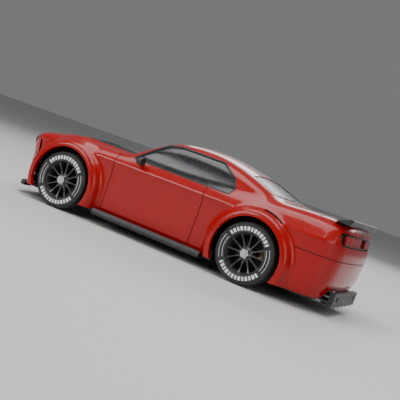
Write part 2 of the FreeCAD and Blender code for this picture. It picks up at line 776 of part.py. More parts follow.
def make_gearbox():
    left, right = f"({REAR_X} - 11)", f"({MOTOR_X} + 4.2)"
    bottom, top = f"({FLOOR_TOP} + 0.1)", "31.4"
    inner_left, inner_right = f"({left} + 1.2)", f"({right} - 1.2)"
    case_end = "(gearbox_y + gearbox_depth)"
    case = cut(
        box(left, "gearbox_y", bottom, f"{right} - {left}", "gearbox_depth", f"{top} - {bottom}"),
        box(inner_left, "gearbox_y + gearbox_plate", f"{bottom} + 1.0", f"{inner_right} - {inner_left}",
            "gearbox_depth", f"{top} - {bottom} - 2"),
        cylinder(REAR_X, "gearbox_y", "tyre_radius", "2.5 + seat_gap", "gearbox_plate", "Y"),
        cylinder(IDLER_X, "gearbox_y", IDLER_Z, "motor_shaft + seat_gap", "gearbox_plate", "Y"),
        cylinder(MOTOR_X, "gearbox_y", MOTOR_Z, "3.4", "gearbox_plate", "Y"),
    )
    node(case, "gearbox_case")
    cover_y = f"({case_end} + 0.05)"
    cover = cut(
        box(left, cover_y, bottom, f"{right} - {left}", "gearbox_plate", f"{top} - {bottom}"),
        cylinder(REAR_X, cover_y, "tyre_radius", "2.5 + seat_gap", "gearbox_plate", "Y"),
        cylinder(IDLER_X, cover_y, IDLER_Z, "motor_shaft + seat_gap", "gearbox_plate", "Y"),
    )
    node(cover, "gearbox_cover")
    node(cylinder(IDLER_X, "gearbox_y", IDLER_Z, "motor_shaft", "gearbox_depth + gearbox_plate", "Y"), "idler_pin")
    block_y = "-26"
    block = cut(
        middle_box(REAR_X, "-24", f"{FLOOR_TOP} + 0.1", "10", "4", "17"),
        cylinder(REAR_X, block_y, "tyre_radius", "2.5 + seat_gap", "4", "Y"),
    )
    node(block, "rear_bearing_block")
    bushes = [
        ring(REAR_X, y, "tyre_radius", "2.5", "axle_radius + running_gap", length, "Y")
        for y, length in ((block_y, "4"), ("gearbox_y", "gearbox_plate"), (cover_y, "gearbox_plate"))
    ]
    node(group(*bushes), "axle_bushes")


def make_rear_axle():
    half = "(wheel_centre_y + hub_length / 2 + 2)"
    node(cylinder(REAR_X, f"-{half}", "tyre_radius", "axle_radius", f"2 * {half}", "Y"), "rear_axle")
    hex_start, nut_start = "34.1", "(wheel_centre_y + hub_length / 2 + 0.1)"
    hexes = [
        hexagon(REAR_X, start, "3.5", "2.8")
        for start in (hex_start, f"-{hex_start} - 2.8")
    ]
    node(group(*hexes), "rear_wheel_hexes")
    nuts = [
        hexagon(REAR_X, start, "2.4", "1.5")
        for start in (nut_start, f"-{nut_start} - 1.5")
    ]
    node(group(*nuts), "rear_wheel_nuts")


def hexagon(x, y, apothem, length):
    """A hexagonal nut on the rear axle."""
    prism = doc.addObject("Part::Prism", "Prism")
    prism.Polygon = 6
    bind(prism, "Circumradius", f"{apothem} / cos(30deg)")
    bind(prism, "Height", length)
    place(prism, x, y, "tyre_radius", AXES["Y"])
    return cut(prism, cylinder(x, y, "tyre_radius", "axle_radius + seat_gap", length, "Y"))


# ---------------------------------------------------------------- wheels


def make_tyre(name, x, side):
    body = new_body(name)
    half = "tyre_width / 2"
    profile = [
        ("rim_radius + 0.05", f"-({half} - 1.4)"),
        ("rim_flange + 0.1", f"-({half} - 1.0)"),
        ("rim_flange + 0.1", f"-({half} - 0.2)"),
        ("tyre_radius - 1.6", f"-({half})"),
        ("tyre_radius - 0.4", f"-({half} - 0.5)"),
        ("tyre_radius", f"-({half} - 1.6)"),
    ]
    sketch = new_sketch(body, "XY_Plane")
    add_outline(sketch, mirrored(profile))
    revolve(body, sketch)
    place(body, x, f"{side} * wheel_centre_y", "tyre_radius")


def make_rim(name, x, side, bore):
    """Barrel, hub and straight spokes. The spokes lie towards the outside of the car."""
    y = f"{side} * wheel_centre_y"
    start = f"({y} - tyre_width / 2 + 0.1)"
    width = "(tyre_width - 0.2)"
    outside = f"({y} + {side} * 4.6)"
    hub_start = f"({y} - hub_length / 2)"
    barrel = cut(
        fuse(
            cylinder(x, start, "tyre_radius", "rim_radius", width, "Y"),
            cylinder(x, start, "tyre_radius", "rim_flange", "0.8", "Y"),
            cylinder(x, f"{start} + {width} - 0.8", "tyre_radius", "rim_flange", "0.8", "Y"),
        ),
        cylinder(x, start, "tyre_radius", "rim_inner", width, "Y"),
    )
    spokes = []
    count = int(value("spoke_count"))
    for i in range(count):
        spoke = doc.addObject("Part::Box", "Spoke")
        bind(spoke, "Length", "rim_radius - 2.6")
        bind(spoke, "Width", "2")
        bind(spoke, "Height", "spoke_width")
        turn = Rotation(Vector(0, 1, 0), 360 * i / count)
        corner = turn.multVec(Vector(2.0, 0, -value("spoke_width") / 2))
        place(spoke, f"{x} + {corner.x}", f"{outside} - 1", f"tyre_radius + {corner.z}", turn)
        spokes.append(spoke)
    hub = cylinder(x, hub_start, "tyre_radius", "hub_radius", "hub_length", "Y")
    rim = cut(
        fuse(barrel, hub, *spokes),
        cylinder(x, hub_start, "tyre_radius", bore, "hub_length", "Y"),
    )
    node(rim, name)


def make_wheels():
    corners = (("front", FRONT_X, "axle_radius + running_gap"), ("rear", REAR_X, "axle_radius + seat_gap"))
    for end, x, bore in corners:
        for word, side in SIDES.items():
            make_rim(f"rim_{end}_{word}", x, side, bore)
            make_tyre(f"tyre_{end}_{word}", x, side)


# ---------------------------------------------------------------- body shell


def extruded(points, direction):
    return Part.Face(Part.makePolygon(points + points[:1])).extrude(direction)


def both_sides(points):
    return points + [(a, -b) for a, b in reversed(points) if b]


def lower_body(inset):
    """Fenders, doors, bonnet and boot: where a side profile, a plan and a section all agree."""
    nose = value("body_nose") - inset
    tail = value("overall_length") / 2 - inset
    low = value("body_bottom") if not inset else -20
    half = value("body_half_width") - inset
    profile = [
        (nose - 6, low), (nose - 1, low + 6), (nose, 21), (nose - 0.8, 41 - inset), (nose - 4, 44.6 - inset),
        (92, 48 - inset), (60, 49.8 - inset), (36, 50.2 - inset), (-28, 50.6 - inset), (-66, 53.6 - inset),
        (-104, 54.8 - inset), (-(tail - 4), 53.8 - inset), (-(tail - 1.5), 46), (-tail, 34), (-(tail - 1), 18),
        (-(tail - 7), low),
    ]
    plan = [
        (nose, 0), (nose - 0.6, 14), (nose - 2.4, 26), (nose - 6, 36 - inset), (nose - 12, half - 3.5),
        (nose - 22, half - 0.8), (40, half), (-40, half), (-(tail - 20), half - 0.5),
        (-(tail - 9), half - 3), (-(tail - 3), 37 - inset), (-(tail - 0.6), 20), (-tail, 0),
    ]
    section = [
        (half - 3.5, low), (half - 1.2, 14), (half, 28), (half - 0.2, 41.8), (half - 3.2, 47.6 - inset),
        (half - 8, 51 - inset), (half - 16, 56.5),
    ]
    reach = 2 * value("overall_length")
    side_solid = extruded([Vector(x, -reach / 2, z) for x, z in profile], Vector(0, reach, 0))
    plan_solid = extruded([Vector(x, y, -reach / 2) for x, y in both_sides(plan)], Vector(0, 0, reach))
    ring_points = section + [(-y, z) for y, z in reversed(section)]
    section_solid = extruded([Vector(-reach / 2, y, z) for y, z in ring_points], Vector(reach, 0, 0))
    return side_solid.common(plan_solid).common(section_solid)


def cabin_outline(front, rear, half, z):
    """One level of the cabin: bowed ends and straight sides, as a closed wire."""
    bow = half * 0.16
    corner = half * 0.25
    right_front, left_front = Vector(front - bow, -half + corner, z), Vector(front - bow, half - corner, z)
    left_rear, right_rear = Vector(rear + bow, half - corner, z), Vector(rear + bow, -half + corner, z)
    side_front, side_rear = front - bow - corner, rear + bow + corner
    edges = [
        Part.Arc(right_front, Vector(front, 0, z), left_front).toShape(),
        Part.LineSegment(left_front, Vector(side_front, half, z)).toShape(),
        Part.LineSegment(Vector(side_front, half, z), Vector(side_rear, half, z)).toShape(),
        Part.LineSegment(Vector(side_rear, half, z), left_rear).toShape(),
        Part.Arc(left_rear, Vector(rear, 0, z), right_rear).toShape(),
        Part.LineSegment(right_rear, Vector(side_rear, -half, z)).toShape(),
        Part.LineSegment(Vector(side_rear, -half, z), Vector(side_front, -half, z)).toShape(),
        Part.LineSegment(Vector(side_front, -half, z), right_front).toShape(),
    ]
    return Part.Wire(edges)


def cabin(inset):
    """The glasshouse, lofted upwards from the waist to the roof."""
    roof = value("overall_height")
    levels = [
        (44, -88, 42.3, 46.5),
        (30, -68.5, 38.9, 57.0),
        (18.5, -50, 35.2, 64.5),
        (11.5, -41.5, 31.0, 68.2),
        (3, -33, 25.0, roof),
    ]
    outlines = [
        cabin_outline(front - 1.9 * inset, rear + 1.9 * inset, half - 1.15 * inset, z - (inset if z > 50 else 0))
        for front, rear, half, z in levels
    ]
    return Part.makeLoft(outlines, True, True)


def flare(x, side):
    """A cone that grows out of the body side around a wheel arch."""
    root_y, outer_y = value("flare_root_y"), value("overall_width") / 2
    solid = Part.makeCone(
        value("flare_root"), value("flare_lip"), outer_y - root_y,
        Vector(x, side * root_y, value("tyre_radius")), Vector(0, side, 0),
    )
    low = value("body_bottom")
    below = Part.makeBox(80, 20, 40, Vector(x - 40, side * root_y - (0 if side > 0 else 20), low - 40))
    return solid.cut(below)


def arch_cutter(x):
    """The opening in the flares, with a wider well inside them."""
    half = value("overall_width") / 2 + 10
    well = value("well_half_width")
    across = Vector(0, 1, 0)
    opening = Part.makeCylinder(value("arch_radius"), 2 * half, Vector(x, -half, value("tyre_radius")), across)
    return opening.fuse(
        Part.makeCylinder(value("well_radius"), 2 * well, Vector(x, -well, value("tyre_radius")), across)
    )


def window_cutters():
    side = [(29.5, 49.5), (13.5, 63.0), (4, 64.6), (-26, 64.4), (-37, 57), (-17.5, 49.8)]
    ahead = [(35, 51.5), (29, 65.5), (-29, 65.5), (-35, 51.5)]
    behind = [(30, 56.2), (25.5, 65), (-25.5, 65), (-30, 56.2)]
    return [
        extruded([Vector(x, -60, z) for x, z in side], Vector(0, 120, 0)),
        extruded([Vector(7, y, z) for y, z in ahead], Vector(50, 0, 0)),
        extruded([Vector(-100, y, z) for y, z in behind], Vector(56, 0, 0)),
    ]


def nose_openings(half_width, low, high, end):
    """A box through the nose (end 1) or the tail (end -1)."""
    start = 100 if end > 0 else -130
    return Part.makeBox(30, 2 * half_width, high - low, Vector(start, -half_width, low))


GRILLE = (37.5, 33.5, 41.0)
LOWER_GRILLE = (34.0, 13.0, 24.0)
TAIL_LAMPS = (38.5, 41.5, 49.5)
DIFFUSER = (30.0, 0.0, 15.0)
HEADLIGHTS_Y = (32.0, 22.5)


def post_sockets(room):
    """Sleeves that hang from the inside of the body and slip over the body posts."""
    sockets = []
    for x, y, top in post_places():
        x, y, top = value(x), value(y), value(top)
        sleeve = Part.makeCylinder(4.4, 30, Vector(x, y, top - 7)).common(room)
        sockets.append((sleeve, Part.makeCylinder(3.06, 7.2, Vector(x, y, top - 7))))
    return sockets


def make_body_shell():
    shell = value("shell")
    front_x, rear_x = value(FRONT_X), value(REAR_X)
    outer = lower_body(0).fuse(cabin(0))
    inner = lower_body(shell).fuse(cabin(shell))
    body = outer.cut(inner)
    for sleeve, bore in post_sockets(lower_body(shell)):
        body = body.fuse(sleeve).cut(bore)
    for x in (front_x, rear_x):
        for side in SIDES.values():
            body = body.fuse(flare(x, side))
    cutters = window_cutters() + [arch_cutter(front_x), arch_cutter(rear_x)]
    cutters.append(nose_openings(*GRILLE, 1))
    cutters.append(nose_openings(*LOWER_GRILLE, 1))
    cutters.append(nose_openings(*TAIL_LAMPS, -1))
    cutters.append(nose_openings(*DIFFUSER, -1))
    for side in SIDES.values():
        cutters.append(Part.makeBox(13, 5.5, 12, Vector(83, side * 14 - 2.75, 44)))
    for cutter in cutters:
        body = body.cut(cutter)
    body = max(body.Solids, key=lambda solid: solid.Volume)
    shaped(body, "0", "0", "0", "body_shell")


def skin(start, end):
    """The body's outer skin from one depth below its surface to another."""
    return lower_body(start).cut(lower_body(end))


def make_glazing():
    gap = value("shell") + 0.1
    panes = cabin(gap).cut(cabin(gap + value("glazing")))
    panes = panes.cut(Part.makeBox(300, 200, 49, Vector(-150, -100, 0)))
    shaped(max(panes.Solids, key=lambda solid: solid.Volume), "0", "0", "0", "window_glazing")


def make_nose_and_tail():
    half, low, high = GRILLE
    window = Part.makeBox(30, 2 * half - 0.4, high - low - 0.4, Vector(100, -half + 0.2, low + 0.2))
    panel = skin(2.6, 4.2).common(window)
    lenses = []
    for y in HEADLIGHTS_Y:
        for side in SIDES.values():
            centre = Vector(100, side * y, (low + high) / 2)
            hole = Part.makeCylinder(3.1, 30, centre, Vector(1, 0, 0))
            panel = panel.cut(hole)
            lens = Part.makeCylinder(3.0, 30, centre, Vector(1, 0, 0)).common(skin(1.2, 4.2))
            lenses.append(lens)
    shaped(panel, "0", "0", "0", "grille_panel")
    shaped(Part.makeCompound(lenses), "0", "0", "0", "headlight_lenses")

    half, low, high = LOWER_GRILLE
    window = Part.makeBox(30, 2 * half - 0.4, high - low - 0.4, Vector(100, -half + 0.2, low + 0.2))
    mesh = skin(1.8, 3.2).common(window)
    shaped(mesh, "0", "0", "0", "lower_grille")

    half, low, high = TAIL_LAMPS
    window = Part.makeBox(30, 2 * half - 0.4, high - low - 0.4, Vector(-130, -half + 0.2, low + 0.2))
    panel = skin(1.6, 2.8).common(window)
    shaped(panel, "0", "0", "0", "tail_lamp_panel")
    lamps = []
    for side in SIDES.values():
        lamp_box = Part.makeBox(30, 30, high - low - 2.4, Vector(-130, 6 if side > 0 else -36, low + 1.2))
        lamps.append(skin(0.6, 1.5).common(lamp_box))
    shaped(Part.makeCompound(lamps), "0", "0", "0", "tail_lamp_lenses")


def make_splitter():
    lip = value("overall_length") / 2
    outline = [(lip - 14, 43), (lip - 10, 41.5), (lip - 4.5, 34), (lip - 1.2, 22), (lip, 8)]
    points = [Vector(x, y, 5.6) for x, y in outline + [(x, -y) for x, y in reversed(outline)]]
    plate = extruded(points, Vector(0, 0, 2.3))
    chassis_room = Part.makeBox(40, 70, 10, Vector(value("chassis_nose") + 0.4 - 40, -35, 0))
    shaped(plate.cut(chassis_room), "0", "0", "0", "front_splitter")


def make_skirts():
    section = [Vector(-35.5, y, z) for y, z in ((41.5, 5.6), (46.8, 5.6), (47.6, 7.4), (46.5, 9.6), (41.5, 7.9))]
    left = extruded(section, Vector(80, 0, 0))
    left = left.cut(lower_body(0))
    right = left.mirror(Vector(), Vector(0, 1, 0))
    shaped(Part.makeCompound([left, right]), "0", "0", "0", "side_skirts")


def make_diffuser():
    tail = value("overall_length") / 2
    half = DIFFUSER[0] - 0.3
    solid = Part.makeBox(3, 2 * half, 8.4, Vector(-tail, -half, 6.3))
    for y in (-20, -10, 0, 10, 20):
        solid = solid.fuse(Part.makeBox(9.0, 1.2, 3.0, Vector(-tail, y - 0.6, 5.6)))
    solid = solid.fuse(Part.makeBox(9.0, 2 * half, 1.0, Vector(-tail, -half, 8.0)))
    pipes = []
    for side in SIDES.values():
        centre = Vector(-tail + 0.2, side * 21, 10.9)
        solid = solid.cut(Part.makeCylinder(2.7, 12, centre - Vector(1, 0, 0), Vector(1, 0, 0)))
        tip = Part.makeCylinder(2.6, 10, centre, Vector(1, 0, 0))
        pipes.append(tip.cut(Part.makeCylinder(2.0, 8, centre, Vector(1, 0, 0))))
    shaped(solid, "0", "0", "0", "rear_diffuser")
    shaped(Part.makeCompound(pipes), "0", "0", "0", "exhaust_tips")


def make_spoiler():
    section = [Vector(x, -38, z) for x, z in ((-104, 55.0), (-113.3, 54.3), (-115.5, 57.9), (-113.5, 58.3))]
    blade = extruded(section, Vector(0, 76, 0))
    shaped(blade, "0", "0", "0", "rear_spoiler")


def make_mirrors():
    """Door mirrors: a rounded head on a short foot that stands on the door top."""
    heads = []
    for side in SIDES.values():
        head = Part.makeBox(4.6, 6.2, 5.2, Vector(20.0, 0, 45.6))
        head = head.makeFillet(1.6, head.Edges)
        head.translate(Vector(0, 45.0 if side > 0 else -51.2, 0))
        foot = Part.makeBox(2.4, 4.5, 1.8, Vector(21.2, 42.4 if side > 0 else -46.9, 46.4))
        heads.append(head.fuse(foot).cut(lower_body(0)).cut(cabin(0)))
    solids = [max(head.Solids, key=lambda solid: solid.Volume) for head in heads]
    shaped(Part.makeCompound(solids), "0", "0", "0", "door_mirrors")


def make_hood_scoops():
    """Black inlets let into the bonnet."""
    scoops = []
    for side in SIDES.values():
        block = Part.makeBox(12.6, 5.1, 12, Vector(83.2, side * 14 - 2.55, 44.2))
        scoops.append(block.common(skin(0.4, 1.6)))
    shaped(Part.makeCompound(scoops), "0", "0", "0", "hood_scoops")


# ---------------------------------------------------------------- build and export


def check_and_export():
    doc.recompute()
    failed = [o.Label for o in doc.Objects if {"Invalid", "Error"} & set(o.State)]
    if failed:
        raise RuntimeError(f"failed objects: {failed}")
    for obj in nodes:
        if obj.Shape.isNull() or not obj.Shape.isValid() or not obj.Shape.Solids:
            raise RuntimeError(f"{obj.Label} has no valid solid")
    os.makedirs("parts", exist_ok=True)
    for old in os.listdir("parts"):
        os.remove(os.path.join("parts", old))
    for obj in nodes:
        obj.Shape.exportStep(f"parts/{obj.Label}.step")
    print(len(nodes), "nodes")


fill_sheet()
make_chassis_tub()
make_battery()
make_receiver_board()
make_power_switch()
make_underglow()
make_body_posts()
make_screws()
make_front_arms()
for word, side in SIDES.items():
    make_front_corner(word, side)
make_steering()
make_gears()
make_motor()
make_gearbox()
make_rear_axle()
make_wheels()
make_body_shell()
make_glazing()
make_nose_and_tail()
make_splitter()
make_skirts()
make_diffuser()
make_spoiler()
make_mirrors()
make_hood_scoops()
check_and_export()
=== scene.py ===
import json
import math

import bpy
import numpy as np
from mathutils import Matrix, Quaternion, Vector


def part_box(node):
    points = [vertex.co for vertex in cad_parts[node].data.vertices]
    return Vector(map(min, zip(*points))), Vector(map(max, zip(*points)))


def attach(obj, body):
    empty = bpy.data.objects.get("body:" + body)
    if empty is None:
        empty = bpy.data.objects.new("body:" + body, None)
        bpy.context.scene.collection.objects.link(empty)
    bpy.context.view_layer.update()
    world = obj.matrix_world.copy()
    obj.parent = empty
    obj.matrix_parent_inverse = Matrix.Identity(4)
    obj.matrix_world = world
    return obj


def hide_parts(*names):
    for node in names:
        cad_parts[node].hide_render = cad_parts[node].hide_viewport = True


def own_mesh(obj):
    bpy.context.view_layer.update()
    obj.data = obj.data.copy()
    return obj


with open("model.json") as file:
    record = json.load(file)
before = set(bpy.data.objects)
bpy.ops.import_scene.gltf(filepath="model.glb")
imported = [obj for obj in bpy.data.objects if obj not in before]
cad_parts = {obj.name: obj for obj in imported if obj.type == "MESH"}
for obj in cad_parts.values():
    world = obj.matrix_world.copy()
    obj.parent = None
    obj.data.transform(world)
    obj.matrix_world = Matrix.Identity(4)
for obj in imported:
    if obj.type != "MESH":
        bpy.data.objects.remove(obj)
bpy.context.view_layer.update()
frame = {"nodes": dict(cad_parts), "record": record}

# Looks of a 1:20 remote-controlled drift car around its CAD frame. Shapes are worked out in
# millimetres in the CAD frame (+X nose, +Y left, +Z up) and stored in metres.

MM = 0.001


def box_mm(node):
    low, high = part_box(node)
    return np.array(low) / MM, np.array(high) / MM


def centre_mm(node):
    low, high = box_mm(node)
    return (low + high) / 2


FRONT_X = centre_mm("tyre_front_left")[0]
REAR_X = centre_mm("tyre_rear_left")[0]
AXLE_Z = centre_mm("tyre_front_left")[2]
WHEEL_Y = centre_mm("tyre_front_left")[1]
TYRE_LOW, TYRE_HIGH = box_mm("tyre_front_left")
TYRE_RADIUS = (TYRE_HIGH[2] - TYRE_LOW[2]) / 2
TYRE_HALF = (TYRE_HIGH[1] - TYRE_LOW[1]) / 2
RIM_LOW, RIM_HIGH = box_mm("rim_front_left")
RIM_HALF = (RIM_HIGH[1] - RIM_LOW[1]) / 2
RIM_FLANGE = (RIM_HIGH[2] - RIM_LOW[2]) / 2
RIM_SEAT = RIM_FLANGE - 0.65
LAMP_Z = centre_mm("headlight_lenses")[2]

ARCH_RADIUS = 22.0
NOSE_X, NOSE_BOW = 115.9, 0.0030
TAIL_X, TAIL_BOW = 117.3, 0.0022
FLARE_Y = 51.2
SILL_Z = 8.2
PANEL_GAP = 0.26
SKIN = 0.45
BODY = "chassis"


# ---------------------------------------------------------------- materials


def new_material(name, colour, roughness, metallic=0.0, **sockets):
    material = bpy.data.materials.new(name)
    material.use_nodes = True
    shader = material.node_tree.nodes["Principled BSDF"]
    shader.inputs["Base Color"].default_value = (*colour, 1)
    shader.inputs["Roughness"].default_value = roughness
    shader.inputs["Metallic"].default_value = metallic
    for socket, number in sockets.items():
        shader.inputs[socket.replace("_", " ")].default_value = number
    return material


def noise_at(material, scale, detail=4.0, stretch=(1, 1, 1)):
    """A noise texture in the object's own coordinates, scale in features per metre."""
    nodes, links = material.node_tree.nodes, material.node_tree.links
    coordinates = nodes.new("ShaderNodeTexCoord")
    mapping = nodes.new("ShaderNodeMapping")
    mapping.inputs["Scale"].default_value = stretch
    noise = nodes.new("ShaderNodeTexNoise")
    noise.inputs["Scale"].default_value = scale
    noise.inputs["Detail"].default_value = detail
    links.new(coordinates.outputs["Object"], mapping.inputs["Vector"])
    links.new(mapping.outputs["Vector"], noise.inputs["Vector"])
    return noise


def vary_colour(material, scale, dark, light, low=0.35, high=0.65, stretch=(1, 1, 1)):
    nodes, links = material.node_tree.nodes, material.node_tree.links
    noise = noise_at(material, scale, stretch=stretch)
    ramp = nodes.new("ShaderNodeValToRGB")
    ramp.color_ramp.elements[0].position = low
    ramp.color_ramp.elements[0].color = (*dark, 1)
    ramp.color_ramp.elements[1].position = high
    ramp.color_ramp.elements[1].color = (*light, 1)
    links.new(noise.outputs["Fac"], ramp.inputs["Fac"])
    links.new(ramp.outputs["Color"], nodes["Principled BSDF"].inputs["Base Color"])


def vary_roughness(material, scale, low, high, stretch=(1, 1, 1)):
    nodes, links = material.node_tree.nodes, material.node_tree.links
    noise = noise_at(material, scale, stretch=stretch)
    spread = nodes.new("ShaderNodeMapRange")
    spread.inputs["From Min"].default_value = 0.3
    spread.inputs["From Max"].default_value = 0.7
    spread.inputs["To Min"].default_value = low
    spread.inputs["To Max"].default_value = high
    links.new(noise.outputs["Fac"], spread.inputs["Value"])
    links.new(spread.outputs["Result"], nodes["Principled BSDF"].inputs["Roughness"])


def add_bump(material, scale, strength, height, detail=3.0, stretch=(1, 1, 1)):
    nodes, links = material.node_tree.nodes, material.node_tree.links
    noise = noise_at(material, scale, detail, stretch)
    bump = nodes.new("ShaderNodeBump")
    bump.inputs["Strength"].default_value = strength
    bump.inputs["Distance"].default_value = height
    links.new(noise.outputs["Fac"], bump.inputs["Height"])
    links.new(bump.outputs["Normal"], nodes["Principled BSDF"].inputs["Normal"])


def moulded(name, colour, roughness, light=None, grain=0.25, **sockets):
    """Moulded plastic: faint cloudy colour, uneven gloss and a fine grain."""
    material = new_material(name, colour, roughness, **sockets)
    lighter = light or tuple(min(1.0, c * 1.35 + 0.004) for c in colour)
    vary_colour(material, 160, colour, lighter)
    vary_roughness(material, 420, roughness * 0.85, min(1.0, roughness * 1.2))
    add_bump(material, 5200, grain, 0.00006)
    return material


def metal(name, colour, roughness, stretch=(1, 1, 14)):
    """Turned or drawn metal: fine lines along one axis and small changes in gloss."""
    material = new_material(name, colour, roughness, metallic=1.0)
    vary_colour(material, 240, tuple(c * 0.82 for c in colour), colour, stretch=stretch)
    vary_roughness(material, 500, roughness * 0.7, roughness * 1.5, stretch)
    add_bump(material, 3200, 0.12, 0.00003, stretch=stretch)
    return material


def make_paint(name, dark, light, roughness):
    """Lacquered colour coat: fine metallic fleck, faint orange peel and a soft clear coat."""
    paint = new_material(name, light, roughness, Coat_Weight=0.7, Coat_Roughness=0.04, Coat_IOR=1.36)
    paint.node_tree.nodes["Principled BSDF"].inputs["Specular IOR Level"].default_value = 0.22
    vary_colour(paint, 2600, dark, light, 0.3, 0.6)
    vary_roughness(paint, 900, roughness * 0.85, roughness * 1.25)
    add_bump(paint, 700, 0.05, 0.00004, detail=1.0)
    return paint


RED = make_paint("red_lacquer", (0.22, 0.0004, 0.0006), (0.40, 0.0008, 0.0010), 0.30)
STRIPE = make_paint("black_stripe", (0.012, 0.012, 0.013), (0.026, 0.026, 0.028), 0.36)
INSIDE = moulded("shell_inside", (0.035, 0.006, 0.006), 0.6)
GLASS = new_material("smoked_window", (0.012, 0.013, 0.015), 0.24, Coat_Weight=0.12, Coat_Roughness=0.15)
vary_colour(GLASS, 60, (0.008, 0.009, 0.011), (0.02, 0.022, 0.025))
vary_roughness(GLASS, 300, 0.20, 0.29)
RUBBER = moulded("window_rubber", (0.012, 0.012, 0.012), 0.62)
GLOSS_BLACK = moulded("gloss_black_trim", (0.011, 0.011, 0.012), 0.24, grain=0.1, Coat_Weight=0.5)
SATIN_BLACK = moulded("satin_black_trim", (0.016, 0.016, 0.017), 0.42, grain=0.35)
MATTE_BLACK = moulded("matte_black_mesh", (0.008, 0.008, 0.009), 0.7, grain=0.3)
CHASSIS = moulded("chassis_nylon", (0.022, 0.022, 0.024), 0.5, grain=0.6)
DARK_GREY = moulded("dark_grey_nylon", (0.055, 0.055, 0.058), 0.46, grain=0.5)
TYRE = moulded("tyre_rubber", (0.016, 0.016, 0.0165), 0.74, light=(0.034, 0.033, 0.032), grain=0.5)
WHITE_PRINT = moulded("tyre_white_marks", (0.72, 0.72, 0.70), 0.55, light=(0.86, 0.86, 0.84), grain=0.2)
RIM = moulded("gunmetal_rim", (0.030, 0.031, 0.033), 0.32, grain=0.15, Coat_Weight=0.35)
STEEL = metal("plated_steel", (0.60, 0.60, 0.62), 0.28)
BRASS = metal("brass", (0.78, 0.56, 0.24), 0.3)
ACETAL = moulded("acetal_gear", (0.74, 0.72, 0.65), 0.42, grain=0.15)
BOARD = moulded("circuit_board", (0.010, 0.120, 0.045), 0.38, grain=0.1)
WRAP = moulded("battery_wrap", (0.030, 0.090, 0.330), 0.22, grain=0.1)
LIGHT_BAR = new_material("light_bar", (0.62, 0.78, 0.92), 0.25, Subsurface_Weight=0.4)
vary_colour(LIGHT_BAR, 120, (0.50, 0.70, 0.90), (0.80, 0.90, 0.97), stretch=(3, 1, 1))
LENS = new_material("clear_lens", (0.92, 0.94, 0.96), 0.05, Transmission_Weight=0.85, IOR=1.45)
vary_roughness(LENS, 900, 0.03, 0.09)
REFLECTOR = metal("lamp_reflector", (0.86, 0.87, 0.90), 0.14, stretch=(1, 1, 1))
LAMP_WHITE = new_material("lamp_glow_ring", (0.95, 0.96, 1.0), 0.3, Emission_Strength=0.55)
LAMP_WHITE.node_tree.nodes["Principled BSDF"].inputs["Emission Color"].default_value = (1, 1, 1, 1)
vary_colour(LAMP_WHITE, 900, (0.82, 0.86, 0.92), (0.98, 0.98, 1.0))
RED_LENS = new_material("red_lens", (0.42, 0.004, 0.006), 0.12, Coat_Weight=0.8, Coat_Roughness=0.04)
vary_colour(RED_LENS, 1400, (0.22, 0.002, 0.004), (0.52, 0.008, 0.008), stretch=(1, 1, 4))

SLOT_MATERIALS = {
    "body_paint": RED,
    "smoked_glass": GLASS,
    "black_trim": SATIN_BLACK,
    "black_mesh": MATTE_BLACK,
    "clear_lens": LENS,
    "red_lens": RED_LENS,
    "chassis_black": CHASSIS,
    "dark_grey": DARK_GREY,
    "tyre": TYRE,
    "rim": RIM,
    "steel": STEEL,
    "brass": BRASS,
    "gear_white": ACETAL,
    "board_green": BOARD,
    "cell_wrap": WRAP,
    "light_bar": LIGHT_BAR,
}


# ---------------------------------------------------------------- mesh helpers


class Pieces:
    """Collects vertices and faces, in millimetres, with a material for each group of faces."""

    def __init__(self):
        self.points, self.faces, self.slots, self.materials = [], [], [], []

    def add(self, points, faces, material):
        start = len(self.points)
        if material not in self.materials:
            self.materials.append(material)
        self.points += [tuple(p) for p in points]
        self.faces += [tuple(int(i) + start for i in face) for face in faces]
        self.slots += [self.materials.index(material)] * len(faces)

    def object(self, name, body, slot, replaces=(), move=(0, 0, 0), flip=False, sharp=32):
        """Makes the object. flip mirrors it across the car's centre plane first."""
        side = -1 if flip else 1
        points = [((x + move[0]) * MM, (y * side + move[1]) * MM, (z + move[2]) * MM) for x, y, z in self.points]
        faces = [face[::-1] for face in self.faces] if flip else self.faces
        mesh = bpy.data.meshes.new(name)
        mesh.from_pydata(points, [], faces)
        mesh.polygons.foreach_set("material_index", self.slots)
        for material in self.materials:
            mesh.materials.append(material)
        mesh.polygons.foreach_set("use_smooth", [True] * len(mesh.polygons))
        mesh.set_sharp_from_angle(angle=math.radians(sharp))
        mesh.update()
        return framed(name, mesh, body, replaces)


def framed(name, mesh, body, replaces=()):
    """An object for the mesh, in its place in the frame."""
    obj = bpy.data.objects.new(name, mesh)
    bpy.context.scene.collection.objects.link(obj)
    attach(obj, body)
    if replaces:
        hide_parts(*replaces)
    return obj


def round_edges(obj, width):
    modifier = obj.modifiers.new("Edges", "BEVEL")
    modifier.width = width * MM
    modifier.segments = 2
    modifier.limit_method = "ANGLE"
    modifier.angle_limit = math.radians(40)
    modifier.harden_normals = True


def loft(rings):
    """Faces between rings of equal point counts, with a cap at each end."""
    count = len(rings[0])
    points = [p for ring in rings for p in ring]
    faces = []
    for i in range(len(rings) - 1):
        a, b = i * count, (i + 1) * count
        for j in range(count):
            k = (j + 1) % count
            faces.append((a + j, a + k, b + k, b + j))
    faces.append(tuple(range(count))[::-1])
    faces.append(tuple(range((len(rings) - 1) * count, len(rings) * count)))
    return points, faces


def lathe(profile, count):
    """Turns a closed outline of (radius, y) points round the Y axis."""
    size = len(profile)
    points, faces = [], []
    for i in range(count):
        angle = 2 * math.pi * i / count
        points += [(r * math.cos(angle), y, r * math.sin(angle)) for r, y in profile]
        a, b = i * size, ((i + 1) % count) * size
        for j in range(size):
            k = (j + 1) % size
            faces.append((a + j, b + j, b + k, a + k))
    return points, faces


def turned(points, angle):
    """Points turned round the Y axis."""
    c, s = math.cos(angle), math.sin(angle)
    return [(x * c - z * s, y, x * s + z * c) for x, y, z in points]


